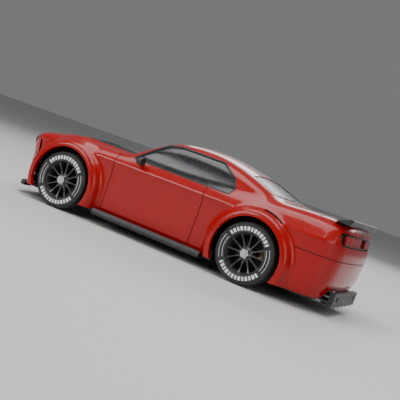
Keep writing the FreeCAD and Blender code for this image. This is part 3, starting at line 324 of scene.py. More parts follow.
def shifted(points, x=0.0, y=0.0, z=0.0):
    return [(a + x, b + y, c + z) for a, b, c in points]


def along_x(points):
    """Turns something made round the Y axis so that its +Y side faces +X."""
    return [(y, -x, z) for x, y, z in points]


# ---------------------------------------------------------------- the body surface as a field


def smooth_curve(points, blur):
    """A function that runs near the points, with corners rounded over about blur millimetres."""
    xs, ys = np.array(sorted(points), float).T
    grid = np.arange(xs[0], xs[-1] + 0.125, 0.25)
    reach = max(1, int(4 * blur / 0.25))
    weights = np.exp(-0.5 * (np.arange(-reach, reach + 1) * 0.25 / blur) ** 2)
    table = np.interp(grid, xs, ys)
    padded = np.concatenate([np.full(reach, table[0]), table, np.full(reach, table[-1])])
    table = np.convolve(padded, weights / weights.sum(), "valid")
    return lambda x: np.interp(x, grid, table)


def outer_of(a, b, blend):
    """Where both solids are: the larger of two fields, with a rounded corner."""
    near = np.clip(blend - np.abs(a - b), 0, None) / blend
    return np.maximum(a, b) + near * near * blend * 0.25


def either_of(a, b, blend):
    """Where one or the other is: the smaller of two fields, with a filleted corner."""
    return -outer_of(-a, -b, blend)


def step_between(x, start, end):
    t = np.clip((x - start) / (end - start), 0, 1)
    return t * t * (3 - 2 * t)


FENDER_TOP = smooth_curve(
    [(-150, 52.5), (-117, 53.8), (-104, 54.8), (-85, 54.6), (-62, 53.0), (-40, 50.9), (-20, 50.0), (10, 49.5),
     (35, 49.2), (50, 48.7), (64, 48.1), (84, 47.0), (98, 45.6), (108, 43.8), (116, 41.4), (150, 34)], 4.0)
BONNET_RISE = smooth_curve(
    [(-150, 0.8), (26, 0.8), (36, 2.2), (58, 3.2), (78, 3.0), (90, 2.2), (100, 1.6), (112, 0.9), (150, 0.5)], 3.0)
HALF_WIDTH = smooth_curve(
    [(-150, 43), (-118, 44.6), (-105, 45.8), (-90, 46.7), (-62, 46.9), (-30, 46.0), (0, 45.5),
     (40, 45.7), (72, 46.3), (92, 45.8), (104, 44.6), (118, 43.0), (150, 41)], 6.0)
SIDE_TUCK = smooth_curve(
    [(-20, -10), (4, -5.0), (8, -3.4), (11, -2.2), (15, -1.5), (22, -1.1), (32, -0.9), (39, -0.45),
     (42.4, 0.15), (44.6, -1.1), (47.5, -2.7), (51, -4.9), (56, -9.5), (60, -14), (90, -46)], 0.55)
NOSE_FACE = smooth_curve(
    [(-20, 14), (4, 6.5), (8, 5.4), (12, 3.6), (18, 1.9), (25, 1.3), (29.5, 0.9), (31.5, 0.1), (36, 0.0),
     (41, 0.1), (44, 0.8), (47, 2.4), (60, 14)], 0.8)
TAIL_FACE = smooth_curve(
    [(-20, 18), (4, 8), (8, 6.5), (14, 3.2), (20, 1.2), (30, 0.2), (38, 0.0), (50, 0.7), (56, 1.8), (80, 12)], 1.5)
ROOF_LINE = smooth_curve(
    [(-150, 30), (-80, 54), (-66, 59.4), (-50, 64.8), (-38, 67.9), (-26, 69.6), (-14, 70.45), (-5, 70.4),
     (4, 69.6), (14, 67.9), (24, 65.2), (60, 52)], 3.0)
CABIN_SIDE = smooth_curve(
    [(30, 45.5), (46, 42.6), (52, 40.9), (57, 39.2), (62, 36.9), (66, 34.4), (70, 31.2), (90, 14)], 1.5)
CABIN_TAPER = smooth_curve(
    [(-150, -6), (-92, -5.0), (-60, -2.6), (-30, -0.5), (-5, 0.0), (15, -0.6), (36, -2.0), (150, -8)], 8.0)


def flare_field(x, y, z, wheel_x):
    """A flare: a flat outer lip round the wheel and a cone that falls back to the body side."""
    radius = np.hypot(x - wheel_x, z - AXLE_Z)
    lip = y - (FLARE_Y - 0.05 * (radius - ARCH_RADIUS))
    fall = (radius - (27.8 - 0.56 * (y - 46.5))) * 0.87
    return outer_of(outer_of(lip, fall, 1.8), 40 - y, 1.0)


def body_field(x, y, z):
    """Below zero inside the body. y is taken on the left side, y >= 0."""
    top = FENDER_TOP(x) + 0.9 * (1 - (y / 40) ** 2)
    top = top + BONNET_RISE(x) * (1 - step_between(y, 16.5, 25.5)) * step_between(x, 20, 30)
    side = y - (HALF_WIDTH(x) + SIDE_TUCK(z))
    nose = x - (NOSE_X - NOSE_BOW * y * y - NOSE_FACE(z))
    tail = -x - (TAIL_X - TAIL_BOW * y * y - TAIL_FACE(z))
    walls = outer_of(outer_of(side, nose, 17.0), tail, 14.0)
    lower = outer_of(walls, z - top, 6.0)
    glass_side = (y - (CABIN_SIDE(z) + CABIN_TAPER(x))) * 0.9
    roof = z - (ROOF_LINE(x) - 2.4 * (y / 30) ** 2)
    screen = 0.580 * (x - 37.5) + 0.8146 * (z - 52.0) + 0.0022 * y * y
    back = -0.345 * (x + 67.0) + 0.9386 * (z - 58.0) + 0.0012 * y * y
    cabin = outer_of(glass_side, roof, 7.0)
    cabin = outer_of(outer_of(cabin, screen, 4.5), back, 7.0)
    cabin = np.maximum(cabin, np.maximum(44 - z, -x - 110))
    field = either_of(lower, cabin, 3.2)
    for wheel_x in (FRONT_X, REAR_X):
        field = either_of(field, flare_field(x, y, z, wheel_x), 2.0)
    return np.maximum(field, 2.0 - z)


def field_at(points):
    return body_field(points[:, 0], np.abs(points[:, 1]), points[:, 2])


def normals_at(points):
    """Unit normals of the body surface, from the field's slope."""
    slope = np.zeros_like(points)
    for axis in range(3):
        step = np.zeros(3)
        step[axis] = 0.06
        slope[:, axis] = field_at(points + step) - field_at(points - step)
    centre = np.abs(points[:, 1]) < 1e-6
    slope[centre, 1] = 0
    return slope / np.maximum(np.linalg.norm(slope, axis=1), 1e-9)[:, None]


def settle(points, level=0.0):
    """Moves points along the field's slope on to the surface, or to a depth below it."""
    for _ in range(2):
        flat = np.abs(points[:, 1]) < 1e-6
        gap = field_at(points) - level
        points = points - normals_at(points) * np.clip(gap, -0.6, 0.6)[:, None] * 0.9
        points[flat, 1] = 0
    return points


def body_rays(spacing):
    """Rays that fan from a line inside the car over its left half, from nose to tail."""
    end, height = 84.0, 27.0
    dense = np.arange(-end, end, 0.1)
    weight = np.ones_like(dense)
    for wheel_x in (FRONT_X, REAR_X):
        weight += 0.9 * (np.abs(np.abs(dense - wheel_x) - 26.0) < 4.0)
    total = np.concatenate([[0], np.cumsum((weight[1:] + weight[:-1]) / 2)])
    count = int(2 * end / spacing * weight.mean())
    stations = np.interp(np.linspace(0, total[-1], count), total, dense)[::-1]
    fan = np.linspace(0, math.pi / 2, int(76 / spacing))
    around = np.concatenate([fan[:-1], np.full(count, math.pi / 2), math.pi / 2 + fan[1:]])
    start = np.concatenate([np.full(len(fan) - 1, end), stations, np.full(len(fan) - 1, -end)])
    lift = np.radians(np.linspace(-46, 90, int(110 / spacing)))
    lift[-1] = math.pi / 2
    directions = np.stack([
        np.cos(around)[:, None] * np.cos(lift)[None, :],
        np.sin(around)[:, None] * np.cos(lift)[None, :],
        np.broadcast_to(np.sin(lift)[None, :], (len(around), len(lift))),
    ], axis=-1)
    directions[np.abs(directions) < 1e-9] = 0
    origins = np.zeros_like(directions)
    origins[:, :, 0] = start[:, None]
    origins[:, :, 2] = height
    return origins, directions


def cast(origins, directions, level):
    """Where each ray last leaves the solid, and the triangles between neighbouring rays."""
    shape = origins.shape[:2]
    origin, direction = origins.reshape(-1, 3), directions.reshape(-1, 3)
    outside = np.full(len(origin), 100.0)
    inside = np.zeros(len(origin))
    found = np.zeros(len(origin), bool)
    for reach in np.arange(98.0, 0.0, -2.0):
        field = field_at(origin + direction * reach) - level
        hit = (field < 0) & ~found
        inside[hit] = reach
        outside[hit] = reach + 2.0
        found |= hit
    for _ in range(13):
        middle = (inside + outside) / 2
        deep = field_at(origin + direction * middle[:, None]) - level < 0
        inside = np.where(deep, middle, inside)
        outside = np.where(deep, outside, middle)
    points = origin + direction * ((inside + outside) / 2)[:, None]
    index = np.arange(len(points)).reshape(shape)
    a, b, c, d = index[:-1, :-1], index[1:, :-1], index[1:, 1:], index[:-1, 1:]
    triangles = np.concatenate([
        np.stack([a, b, c], -1).reshape(-1, 3),
        np.stack([a, c, d], -1).reshape(-1, 3),
    ])
    return weld(points, triangles)


def weld(points, triangles):
    """Merges points that coincide and drops triangles that have lost a side."""
    _, first, joined = np.unique(np.round(points, 4), axis=0, return_index=True, return_inverse=True)
    triangles = joined.ravel()[triangles]
    points = points[first]
    a, b, c = triangles.T
    return points, triangles[(a != b) & (b != c) & (c != a)]


def split(points, triangles, level):
    """Cuts triangles along level = 0, so that none has corners on both sides."""
    level = np.where(np.abs(level) < 1e-4, 0.0, level)
    sign = np.sign(level)
    count = len(points)
    following = np.roll(triangles, -1, axis=1)
    crossing = sign[triangles] * sign[following] < 0
    key = np.minimum(triangles, following).astype(np.int64) * count + np.maximum(triangles, following)
    keys = np.unique(key[crossing])
    first, second = keys // count, keys % count
    share = level[first] / (level[first] - level[second])
    fresh = points[first] + share[:, None] * (points[second] - points[first])
    middle = count + np.searchsorted(keys, key)
    number = crossing.sum(axis=1)
    made = [triangles[number == 0]]
    for a in range(3):
        b, c = (a + 1) % 3, (a + 2) % 3
        one = (number == 1) & crossing[:, a]
        t, m = triangles[one], middle[one]
        made.append(np.stack([t[:, a], m[:, a], t[:, c]], -1))
        made.append(np.stack([m[:, a], t[:, b], t[:, c]], -1))
        two = (number == 2) & crossing[:, a] & crossing[:, c]
        t, m = triangles[two], middle[two]
        made.append(np.stack([t[:, a], m[:, a], m[:, c]], -1))
        made.append(np.stack([m[:, a], t[:, b], t[:, c]], -1))
        made.append(np.stack([m[:, a], t[:, c], m[:, c]], -1))
    level = np.concatenate([level, np.zeros(len(fresh))])
    return np.concatenate([points, fresh]), np.concatenate(made), level


def trim(points, triangles, field):
    """Keeps what lies where the field is above zero, with a clean edge along zero."""
    points, triangles, level = split(points, triangles, field(points))
    return points, triangles[level[triangles].max(axis=1) > 0]


def used_only(points, triangles):
    kept, renumbered = np.unique(triangles, return_inverse=True)
    return points[kept], renumbered.reshape(-1, 3)


def mirrored_whole(points, triangles):
    """The left half with its mirror image, joined along the centre plane."""
    other = points * np.array([1, -1, 1])
    both = np.concatenate([points, other])
    faces = np.concatenate([triangles, triangles[:, ::-1] + len(points)])
    return weld(both, faces)


def edge_pairs(triangles):
    """The directed edges that only one triangle uses."""
    edges = np.concatenate([triangles[:, [0, 1]], triangles[:, [1, 2]], triangles[:, [2, 0]]])
    size = int(triangles.max()) + 1
    key = np.minimum(edges[:, 0], edges[:, 1]).astype(np.int64) * size + np.maximum(edges[:, 0], edges[:, 1])
    _, where, times = np.unique(key, return_index=True, return_counts=True)
    return edges[where[times == 1]]


def shell_object(name, surface, depth, thickness, slots, materials, replaces=(), lip=0.0):
    """A thin closed shell under the body surface. lip deepens it around the wheel arches."""
    points, triangles = surface
    normals = normals_at(points)
    outer = points - normals * depth
    inner = points - normals * (depth + thickness)
    if lip:
        for wheel_x in (FRONT_X, REAR_X):
            radius = np.hypot(points[:, 0] - wheel_x, points[:, 2] - AXLE_Z)
            edge = np.abs(radius - ARCH_RADIUS) < 0.06
            inner[edge] = points[edge] - np.sign(points[edge, 1:2]) * np.array([0, lip, 0])
    count = len(points)
    edges = edge_pairs(triangles)
    ends = np.unique(edges)
    lookup = np.zeros(count, int)
    lookup[ends] = np.arange(len(ends))
    wall = 2 * count
    top, bottom = wall + lookup[edges], wall + len(ends) + lookup[edges]
    walls = np.concatenate([
        np.stack([top[:, 1], top[:, 0], bottom[:, 0]], -1),
        np.stack([top[:, 1], bottom[:, 0], bottom[:, 1]], -1),
    ])
    every_point = np.concatenate([outer, inner, outer[ends], inner[ends]])
    every_face = np.concatenate([triangles, triangles[:, ::-1] + count, walls])
    outward = np.zeros((len(ends), 3))
    across = np.cross(points[edges[:, 1]] - points[edges[:, 0]], normals[edges[:, 0]])
    for k in range(2):
        np.add.at(outward, lookup[edges[:, k]], across)
    outward /= np.maximum(np.linalg.norm(outward, axis=1), 1e-9)[:, None]
    every_normal = np.concatenate([normals, -normals, outward, outward])
    mesh = bpy.data.meshes.new(name)
    mesh.from_pydata((every_point * MM).tolist(), [], every_face.tolist())
    face_slots = np.concatenate([slots, np.full(len(triangles), len(materials) - 1), np.zeros(len(walls), int)])
    mesh.polygons.foreach_set("material_index", face_slots.astype(np.int32))
    mesh.polygons.foreach_set("use_smooth", np.ones(len(every_face), bool))
    for material in materials:
        mesh.materials.append(material)
    mesh.normals_split_custom_set_from_vertices(every_normal.tolist())
    return framed(name, mesh, BODY, replaces)


# ---------------------------------------------------------------- openings and panel gaps


def polygon_distance(a, b, corners):
    """Signed distance in a plane to a closed polygon, below zero inside."""
    corners = np.array(corners, float)
    nearest = np.full(a.shape, 1e9)
    inside = np.zeros(a.shape, bool)
    for (a0, b0), (a1, b1) in zip(corners, np.roll(corners, -1, axis=0)):
        da, db = a1 - a0, b1 - b0
        t = np.clip(((a - a0) * da + (b - b0) * db) / (da * da + db * db), 0, 1)
        nearest = np.minimum(nearest, (a - a0 - t * da) ** 2 + (b - b0 - t * db) ** 2)
        crosses = ((b0 > b) != (b1 > b)) & (a < (a1 - a0) * (b - b0) / (db if db else 1e-9) + a0)
        inside ^= crosses
    return np.where(inside, -1, 1) * np.sqrt(nearest)


def rounded_box(a, b, centre_a, centre_b, half_a, half_b, radius):
    qa, qb = np.abs(a - centre_a) - half_a + radius, np.abs(b - centre_b) - half_b + radius
    return np.hypot(np.maximum(qa, 0), np.maximum(qb, 0)) + np.minimum(np.maximum(qa, qb), 0) - radius


SIDE_WINDOW = [(30.0, 48.9), (13.5, 63.0), (4, 64.6), (-26, 64.4), (-37.5, 57.6), (-40.5, 51.6), (-38.5, 48.4)]


def side_window(p, grow=0.0):
    distance = polygon_distance(p[:, 0], p[:, 2], SIDE_WINDOW) - 0.9
    return np.maximum(distance - grow, 24 - np.abs(p[:, 1]))


def front_screen(p, grow=0.0):
    corners = [(33.0, 52.6), (27.5, 64.6), (-27.5, 64.6), (-33.0, 52.6)]
    bow = p[:, 2] + 0.0016 * p[:, 1] ** 2
    distance = polygon_distance(p[:, 1], bow, corners) - 1.6
    return np.maximum(distance - grow, 4 - p[:, 0])


def rear_screen(p, grow=0.0):
    corners = [(27.5, 57.6), (22.5, 64.8), (-22.5, 64.8), (-27.5, 57.6)]
    distance = polygon_distance(p[:, 1], p[:, 2], corners) - 1.6
    return np.maximum(distance - grow, p[:, 0] + 44)


def all_windows(p, grow=0.0):
    return np.minimum(np.minimum(side_window(p, grow), front_screen(p, grow)), rear_screen(p, grow))


GRILLE_Z, GRILLE_HALF = 37.6, 38.0
LOWER_Z, LOWER_HALF = 18.0, 30.0
TAIL_LAMP_Z, TAIL_LAMP_HALF = 45.8, 38.4
DUCT = [(34.6, 14.0), (38.6, 15.5), (39.4, 24.0), (35.2, 22.4)]
FLANK_SLOT = [(99.2, 30.5), (100.6, 38.6), (102.0, 38.8), (100.8, 30.5)]
NOSE_START, TAIL_START = 96, -100


def upper_opening(p):
    middle = GRILLE_Z - 0.0006 * p[:, 1] ** 2
    upper = rounded_box(p[:, 1], p[:, 2], 0, middle, GRILLE_HALF, 3.5, 2.2)
    return np.maximum(upper, NOSE_START - p[:, 0])


def lower_opening(p):
    lower = rounded_box(p[:, 1], p[:, 2], 0, LOWER_Z, LOWER_HALF, 5.0, 2.4)
    duct = polygon_distance(np.abs(p[:, 1]), p[:, 2], DUCT) - 0.7
    return np.maximum(np.minimum(lower, duct), NOSE_START - p[:, 0])


def nose_opening(p):
    return np.minimum(upper_opening(p), lower_opening(p))


def tail_lamp_opening(p):
    lamps = rounded_box(p[:, 1], p[:, 2], 0, TAIL_LAMP_Z, TAIL_LAMP_HALF, 3.8, 2.4)
    return np.maximum(lamps, p[:, 0] - TAIL_START)


def tail_lens_cells(p):
    cells = [
        rounded_box(np.abs(p[:, 1]), p[:, 2], middle, TAIL_LAMP_Z, 3.15, 2.75, 0.9)
        for middle in (10.0, 17.0, 24.0, 31.0)
    ]
    return np.maximum(np.min(cells, axis=0), p[:, 0] - TAIL_START)


def tail_opening(p):
    notch = rounded_box(p[:, 1], p[:, 2], 0, 4.0, 29.4, 11.0, 3.0)
    return np.maximum(np.minimum(tail_lamp_opening(p), notch), p[:, 0] - TAIL_START)


def bonnet_inlet(p):
    distance = rounded_box(p[:, 0], np.abs(p[:, 1]), 89.5, 14.0, 6.0, 2.3, 2.0)
    return np.maximum(distance, 44 - p[:, 2])


def flank_slots(p):
    """The slot ahead of the front flare and the groove over the back of the rear flare; the black floor laid in
    both is painted shade.
    """
    ahead = polygon_distance(p[:, 0], p[:, 2], FLANK_SLOT) - 0.35
    radius = np.hypot(p[:, 0] - REAR_X, p[:, 2] - AXLE_Z)
    angle = np.degrees(np.arctan2(p[:, 2] - AXLE_Z, -(p[:, 0] - REAR_X)))
    behind = np.maximum(np.abs(radius - 28.1) - 0.5, np.abs(angle - 72) * 0.5 - 7.5)
    return np.maximum(np.minimum(ahead, behind), 30 - np.abs(p[:, 1]))


def arches(p):
    radius = [np.hypot(p[:, 0] - wheel_x, p[:, 2] - AXLE_Z) for wheel_x in (FRONT_X, REAR_X)]
    return np.minimum(radius[0], radius[1]) - ARCH_RADIUS


def sill_line(p):
    return p[:, 2] - (SILL_Z + 0.00002 * (p[:, 0] - 5) ** 2)


def recesses(p):
    return np.minimum(bonnet_inlet(p), flank_slots(p))


def panel_gaps():
    """Each gap's centre line, as a field that is zero on it, and a field below zero where it runs."""
    def side_only(p):
        return 36 - np.abs(p[:, 1])

    def beside_arches(p):
        return 29.2 - arches(p) - ARCH_RADIUS

    return [
        (lambda p: p[:, 0] - (40.5 + 0.0016 * (p[:, 2] - 26) ** 2),
         lambda p: np.maximum(np.maximum(p[:, 2] - 48.4, 10.2 - p[:, 2]), side_only(p))),
        (lambda p: p[:, 0] + 25.5 - 0.0030 * (p[:, 2] - 30) ** 2,
         lambda p: np.maximum(np.maximum(p[:, 2] - 51.6, 10.2 - p[:, 2]), side_only(p))),
        (lambda p: p[:, 2] - 10.4,
         lambda p: np.maximum(np.abs(p[:, 0] - 7.6) - 33.2, side_only(p))),
        (lambda p: np.abs(p[:, 1]) - (36.4 + 0.02 * (60 - p[:, 0]) * (p[:, 0] < 60)),
         lambda p: np.maximum(np.maximum(p[:, 0] - 110.2, 38.6 - p[:, 0]), 44 - p[:, 2])),
        (lambda p: p[:, 0] - (112.9 - 0.0022 * p[:, 1] ** 2),
         lambda p: np.maximum(np.abs(p[:, 1]) - 36.6, 42.2 - p[:, 2])),
        (lambda p: p[:, 2] - (30.4 - 0.0007 * (p[:, 1] ** 2) * (np.abs(p[:, 1]) < 46)),
         lambda p: np.maximum(94 - p[:, 0], beside_arches(p))),
        (lambda p: p[:, 2] - 33.0,
         lambda p: np.maximum(p[:, 0] + 86, beside_arches(p))),
        (lambda p: np.abs(p[:, 1]) - 36.0,
         lambda p: np.maximum(np.maximum(p[:, 0] + 96, -113.5 - p[:, 0]), 52 - p[:, 2])),
        (lambda p: p[:, 0] + 96.0 - 0.0010 * p[:, 1] ** 2,
         lambda p: np.maximum(np.abs(p[:, 1]) - 36.2, 52 - p[:, 2])),
    ]


def stripe_edges(p):
    return np.abs(np.abs(p[:, 1]) - 7.2) - 3.1


def on_stripe(p, normals):
    top = (normals[:, 2] > 0.25) & (p[:, 2] > 42)
    return (stripe_edges(p) < 0) & top


# ---------------------------------------------------------------- body shell and windows


def make_body():
    spacing = 0.85
    origins, directions = body_rays(spacing)
    points, triangles = cast(origins, directions, 0.0)
    whole = mirrored_whole(points, triangles)
    points, triangles = whole
    for opening in (sill_line, arches, nose_opening, tail_opening):
        points, triangles = trim(points, triangles, opening)
    under = used_only(points, triangles)
    points, triangles = trim(points, triangles, all_windows)
    points, triangles = trim(points, triangles, recesses)
    for line, extent in panel_gaps():
        points, triangles, _ = split(points, triangles, line(points))
        points, triangles = trim(
            points, triangles, lambda p: np.maximum(np.abs(line(p)) - PANEL_GAP, extent(p)))
    points, triangles, _ = split(points, triangles, stripe_edges(points))
    points, triangles = used_only(points, triangles)
    points, triangles = weld(settle(points), triangles)
    middles = points[triangles].mean(axis=1)
    slots = on_stripe(middles, normals_at(middles)).astype(int)
    shell_object(
        "body_skin", (points, triangles), 0.0, SKIN, slots, [RED, STRIPE, INSIDE],
        ["body_shell"], lip=2.8,
    )
    liner = trim(*under, lambda p: all_windows(p, 1.8))
    liner = trim(*liner, lambda p: arches(p) - 3.2)
    liner = used_only(*trim(*liner, lambda p: recesses(p) - 0.8))
    layer("body_liner", liner, 0.5, 0.7, INSIDE)
    return whole


def refine(points, triangles):
    """Each triangle in four, with the new corners moved on to the body surface."""
    count = len(points)
    following = np.roll(triangles, -1, axis=1)
    key = np.minimum(triangles, following).astype(np.int64) * count + np.maximum(triangles, following)
    keys, place = np.unique(key, return_inverse=True)
    middle = count + place.reshape(key.shape)
    fresh = (points[keys // count] + points[keys % count]) / 2
    a, b, c = triangles.T
    ab, bc, ca = middle.T
    made = [np.stack(t, -1) for t in ((a, ab, ca), (ab, b, bc), (ca, bc, c), (ab, bc, ca))]
    return np.concatenate([points, settle(fresh)]), np.concatenate(made)


def patch(whole, inside, times=0):
    """The part of the body surface where inside(p) is below zero, with finer triangles."""
    points, triangles = trim(*whole, lambda p: -inside(p) + (0.4 if times else 0))
    points, triangles = used_only(points, triangles)
    for _ in range(times):
        points, triangles = refine(points, triangles)
    if times:
        points, triangles = trim(points, triangles, lambda p: -inside(p))
    return used_only(points, triangles)


def layer(name, surface, depth, thickness, material, replaces=()):
    slots = np.zeros(len(surface[1]), int)
    shell_object(name, surface, depth, thickness, slots, [material], replaces)


def hexagons(a, b, pitch, wall):
    """Below zero inside the cells of a honeycomb."""
    best = np.full(a.shape, 1e9)
    rise = pitch * math.sqrt(3)
    for shift_a, shift_b in ((0, 0), (pitch / 2, rise / 2)):
        u = (a - shift_a + pitch / 2) % pitch - pitch / 2
        v = (b - shift_b + rise / 2) % rise - rise / 2
        cell = np.maximum(np.abs(u), np.maximum(
            np.abs(0.5 * u + 0.866 * v), np.abs(0.5 * u - 0.866 * v)))
        best = np.minimum(best, cell)
    return best - (pitch - wall) / 2


LAMPS_Y = (22.5, 32.0)
LAMP_RADIUS = 3.05
LAMP_INSET = 1.1


def lamp_holes(p):
    gaps = [np.hypot(np.abs(p[:, 1]) - y, p[:, 2] - LAMP_Z) for y in LAMPS_Y]
    return np.minimum(*gaps) - LAMP_RADIUS - 0.35


def window_bead(p):
    return np.maximum(all_windows(p, 0.05), -all_windows(p, -0.75))


def make_body_details(whole):
    """What sits in the openings, as layers at their own depths under the body surface."""
    fine = 2
    layer("windows", patch(whole, lambda p: all_windows(p, 1.5)), 0.48, 0.6, GLASS,
          ["window_glazing"])
    layer("window_rubbers", patch(whole, window_bead, min(fine, 1)), -0.06, 0.6, RUBBER)
    layer("bonnet_inlet_floors", patch(whole, lambda p: bonnet_inlet(p) - 1.4), 1.9, 0.5, MATTE_BLACK,
          ["hood_scoops"])
    # The slot and groove are real cuts in the shell, but the matte black floor laid in them is painted shade. It
    # stands in for the shadow in the gap between flare and body.
    layer("flank_slot_painted_shade", patch(whole, lambda p: flank_slots(p) - 0.9), 1.3, 0.4, MATTE_BLACK)

    layer("grille_back", patch(whole, lambda p: upper_opening(p) - 0.8), 3.4, 0.6, MATTE_BLACK,
          ["grille_panel"])
    mesh = patch(whole, lambda p: upper_opening(p) - 0.7, fine)
    mesh = trim(*mesh, lambda p: hexagons(p[:, 1], p[:, 2] - LAMP_Z, 1.9, 0.42))
    mesh = used_only(*trim(*mesh, lamp_holes))
    layer("grille_mesh", mesh, 1.5, 0.6, SATIN_BLACK)
    layer("lower_grille_back", patch(whole, lambda p: lower_opening(p) - 0.8), 3.4, 0.6, MATTE_BLACK)
    mesh = patch(whole, lambda p: lower_opening(p) - 0.7, fine)
    mesh = used_only(*trim(*mesh, lambda p: hexagons(p[:, 1], p[:, 2] - LOWER_Z, 2.6, 0.5)))
    layer("lower_grille_mesh", mesh, 1.3, 0.6, SATIN_BLACK, ["lower_grille"])

    layer("tail_panel", patch(whole, lambda p: tail_lamp_opening(p) - 0.8), 2.0, 0.6, GLOSS_BLACK,
          ["tail_lamp_panel"])
    layer("tail_lenses", patch(whole, tail_lens_cells, min(fine, 1)), 0.55, 1.2, RED_LENS,
          ["tail_lamp_lenses"])


body_surface = make_body()
make_body_details(body_surface)


# ---------------------------------------------------------------- headlights, mirrors and springs


def make_headlights():
    lamps = Pieces()
    radius = LAMP_RADIUS
    bezel = [(radius + 0.3, -3.4), (radius + 0.3, -0.35), (radius + 0.12, 0.05), (radius - 0.12, 0.05),
             (radius - 0.25, -0.35), (radius - 0.25, -3.4)]
    bowl = [(0.0001, -3.0), (0.9, -2.95), (1.8, -2.55), (2.45, -1.8), (radius - 0.27, -0.7),
            (radius - 0.27, -3.3), (0.0001, -3.3)]
    bulb = [(0.0001, -1.3), (0.42, -1.42), (0.6, -1.75), (0.6, -2.95), (0.0001, -2.95)]
    halo = [(radius - 0.75, -0.95), (radius - 0.75, -0.75), (radius - 0.45, -0.68), (radius - 0.3, -0.85),
            (radius - 0.3, -0.98)]
    lens = [(0.0001, 0.32), (0.9, 0.28), (1.8, 0.12), (2.5, -0.12), (radius - 0.27, -0.4),
            (radius - 0.27, -0.58), (2.4, -0.34), (1.7, -0.12), (0.0001, 0.04)]
    lenses = Pieces()
    for y in LAMPS_Y + tuple(-y for y in LAMPS_Y):
        front = NOSE_X - NOSE_BOW * y * y - LAMP_INSET
        for profile, material in ((bezel, GLOSS_BLACK), (bowl, REFLECTOR), (bulb, LAMP_WHITE), (halo, LAMP_WHITE)):
            points, faces = lathe(profile[::-1], 40)
            lamps.add(shifted(along_x(points), front, y, LAMP_Z), faces, material)
        points, faces = lathe(lens[::-1], 40)
        lenses.add(shifted(along_x(points), front, y, LAMP_Z), faces, LENS)
    lamps.object("headlight_units", BODY, "black_trim")
    lenses.object("headlight_glass", BODY, "clear_lens", ["headlight_lenses"])


def oval(half_y, half_z, steps=28, power=2.6):
    points = []
    for i in range(steps):
        c, s = math.cos(2 * math.pi * i / steps), math.sin(2 * math.pi * i / steps)
        points.append((
            math.copysign(abs(c) ** (2 / power), c) * half_y,
            math.copysign(abs(s) ** (2 / power), s) * half_z,
        ))
    return points


MIRROR_HALF_Y, MIRROR_HALF_Z = 3.05, 2.5


def make_mirrors():
    low, high = box_mm("door_mirrors")
    front, back = high[0], low[0]
    length = front - back
    middle_y, middle_z = high[1] - 3.15, high[2] - 2.65
    mirrors, glasses = Pieces(), Pieces()
    stations = [
        (0.02, 0.30, 0.32), (0.07, 0.56, 0.58), (0.18, 0.78, 0.80), (0.38, 0.93, 0.95), (0.68, 1.0, 1.0),
        (0.92, 1.0, 1.0), (0.985, 0.975, 0.97), (0.985, 0.90, 0.885), (0.86, 0.88, 0.86),
    ]
    for side in (1, -1):
        rings = []
        for along, wide, tall in stations:
            x = front - along * length
            outline = oval(MIRROR_HALF_Y * wide, MIRROR_HALF_Z * tall)
            ring = [(x, side * (middle_y + a + 0.05 * along), middle_z + b) for a, b in outline]
            rings.append(ring[::-side])
        mirrors.add(*loft(rings), SATIN_BLACK)
        x = front - 0.84 * length
        outline = oval(MIRROR_HALF_Y * 0.87, MIRROR_HALF_Z * 0.85)
        ring = [(x, side * (middle_y + 0.05 + a), middle_z + b) for a, b in outline]
        behind = [(x + 0.3, y, z) for _, y, z in ring]
        points, faces = loft([ring[::side], behind[::side]])
        glasses.add(points, faces, REFLECTOR)
        foot = []
        for t in np.linspace(0, 1, 6):
            y = side * (42.6 + t * 3.6)
            z = middle_z - 1.1 + 0.5 * t * t
            x = (front + back) / 2 + 0.3
            ring = [(x + a, y, z + b) for a, b in oval(1.5 - 0.35 * t, 0.75, 16)]
            foot.append(ring[::side])
        mirrors.add(*loft(foot), SATIN_BLACK)
    mirrors.object("mirror_housings", BODY, "black_trim", ["door_mirrors"])
    glasses.object("mirror_glasses", BODY, "clear_lens")


SPRING_WIRE = 0.25
SPRING_TURNS = 6.5
CLOSED_TURNS = 0.75
CLOSED_SHARE = 0.06


def spring_rings(x, y, radius, start, end, steps=40, around=10):
    """Rings along a coil whose end turns lie closer together than the rest."""
    rings = []
    for i in range(int(SPRING_TURNS * steps) + 1):
        turn = i / steps
        share = np.clip((turn - CLOSED_TURNS) / (SPRING_TURNS - 2 * CLOSED_TURNS), 0, 1)
        first = CLOSED_SHARE * min(turn, CLOSED_TURNS) / CLOSED_TURNS
        last = CLOSED_SHARE * max(0.0, turn - SPRING_TURNS + CLOSED_TURNS) / CLOSED_TURNS
        height = start + (end - start) * (first + (1 - 2 * CLOSED_SHARE) * share + last)
        c, s = math.cos(2 * math.pi * turn), math.sin(2 * math.pi * turn)
        ring = []
        for k in range(around):
            a = SPRING_WIRE * math.cos(2 * math.pi * k / around)
            b = SPRING_WIRE * math.sin(2 * math.pi * k / around)
            ring.append((x + (radius + a) * c, y + (radius + a) * s, height + b))
        rings.append(ring)
    return rings


def make_springs():
    for word in ("left", "right"):
        low, high = box_mm(f"spring_{word}")
        radius = (high[0] - low[0]) / 2 - SPRING_WIRE
        x, y = centre_mm(f"spring_{word}")[:2]
        rings = spring_rings(x, y, radius, low[2] + SPRING_WIRE, high[2] - SPRING_WIRE)
        coil = Pieces()
        coil.add(*loft(rings), STEEL)
        spring = coil.object(f"coil_{word}", BODY, "steel", [f"spring_{word}"])
        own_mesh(spring)


make_headlights()
make_mirrors()
make_springs()


# ---------------------------------------------------------------- wheels


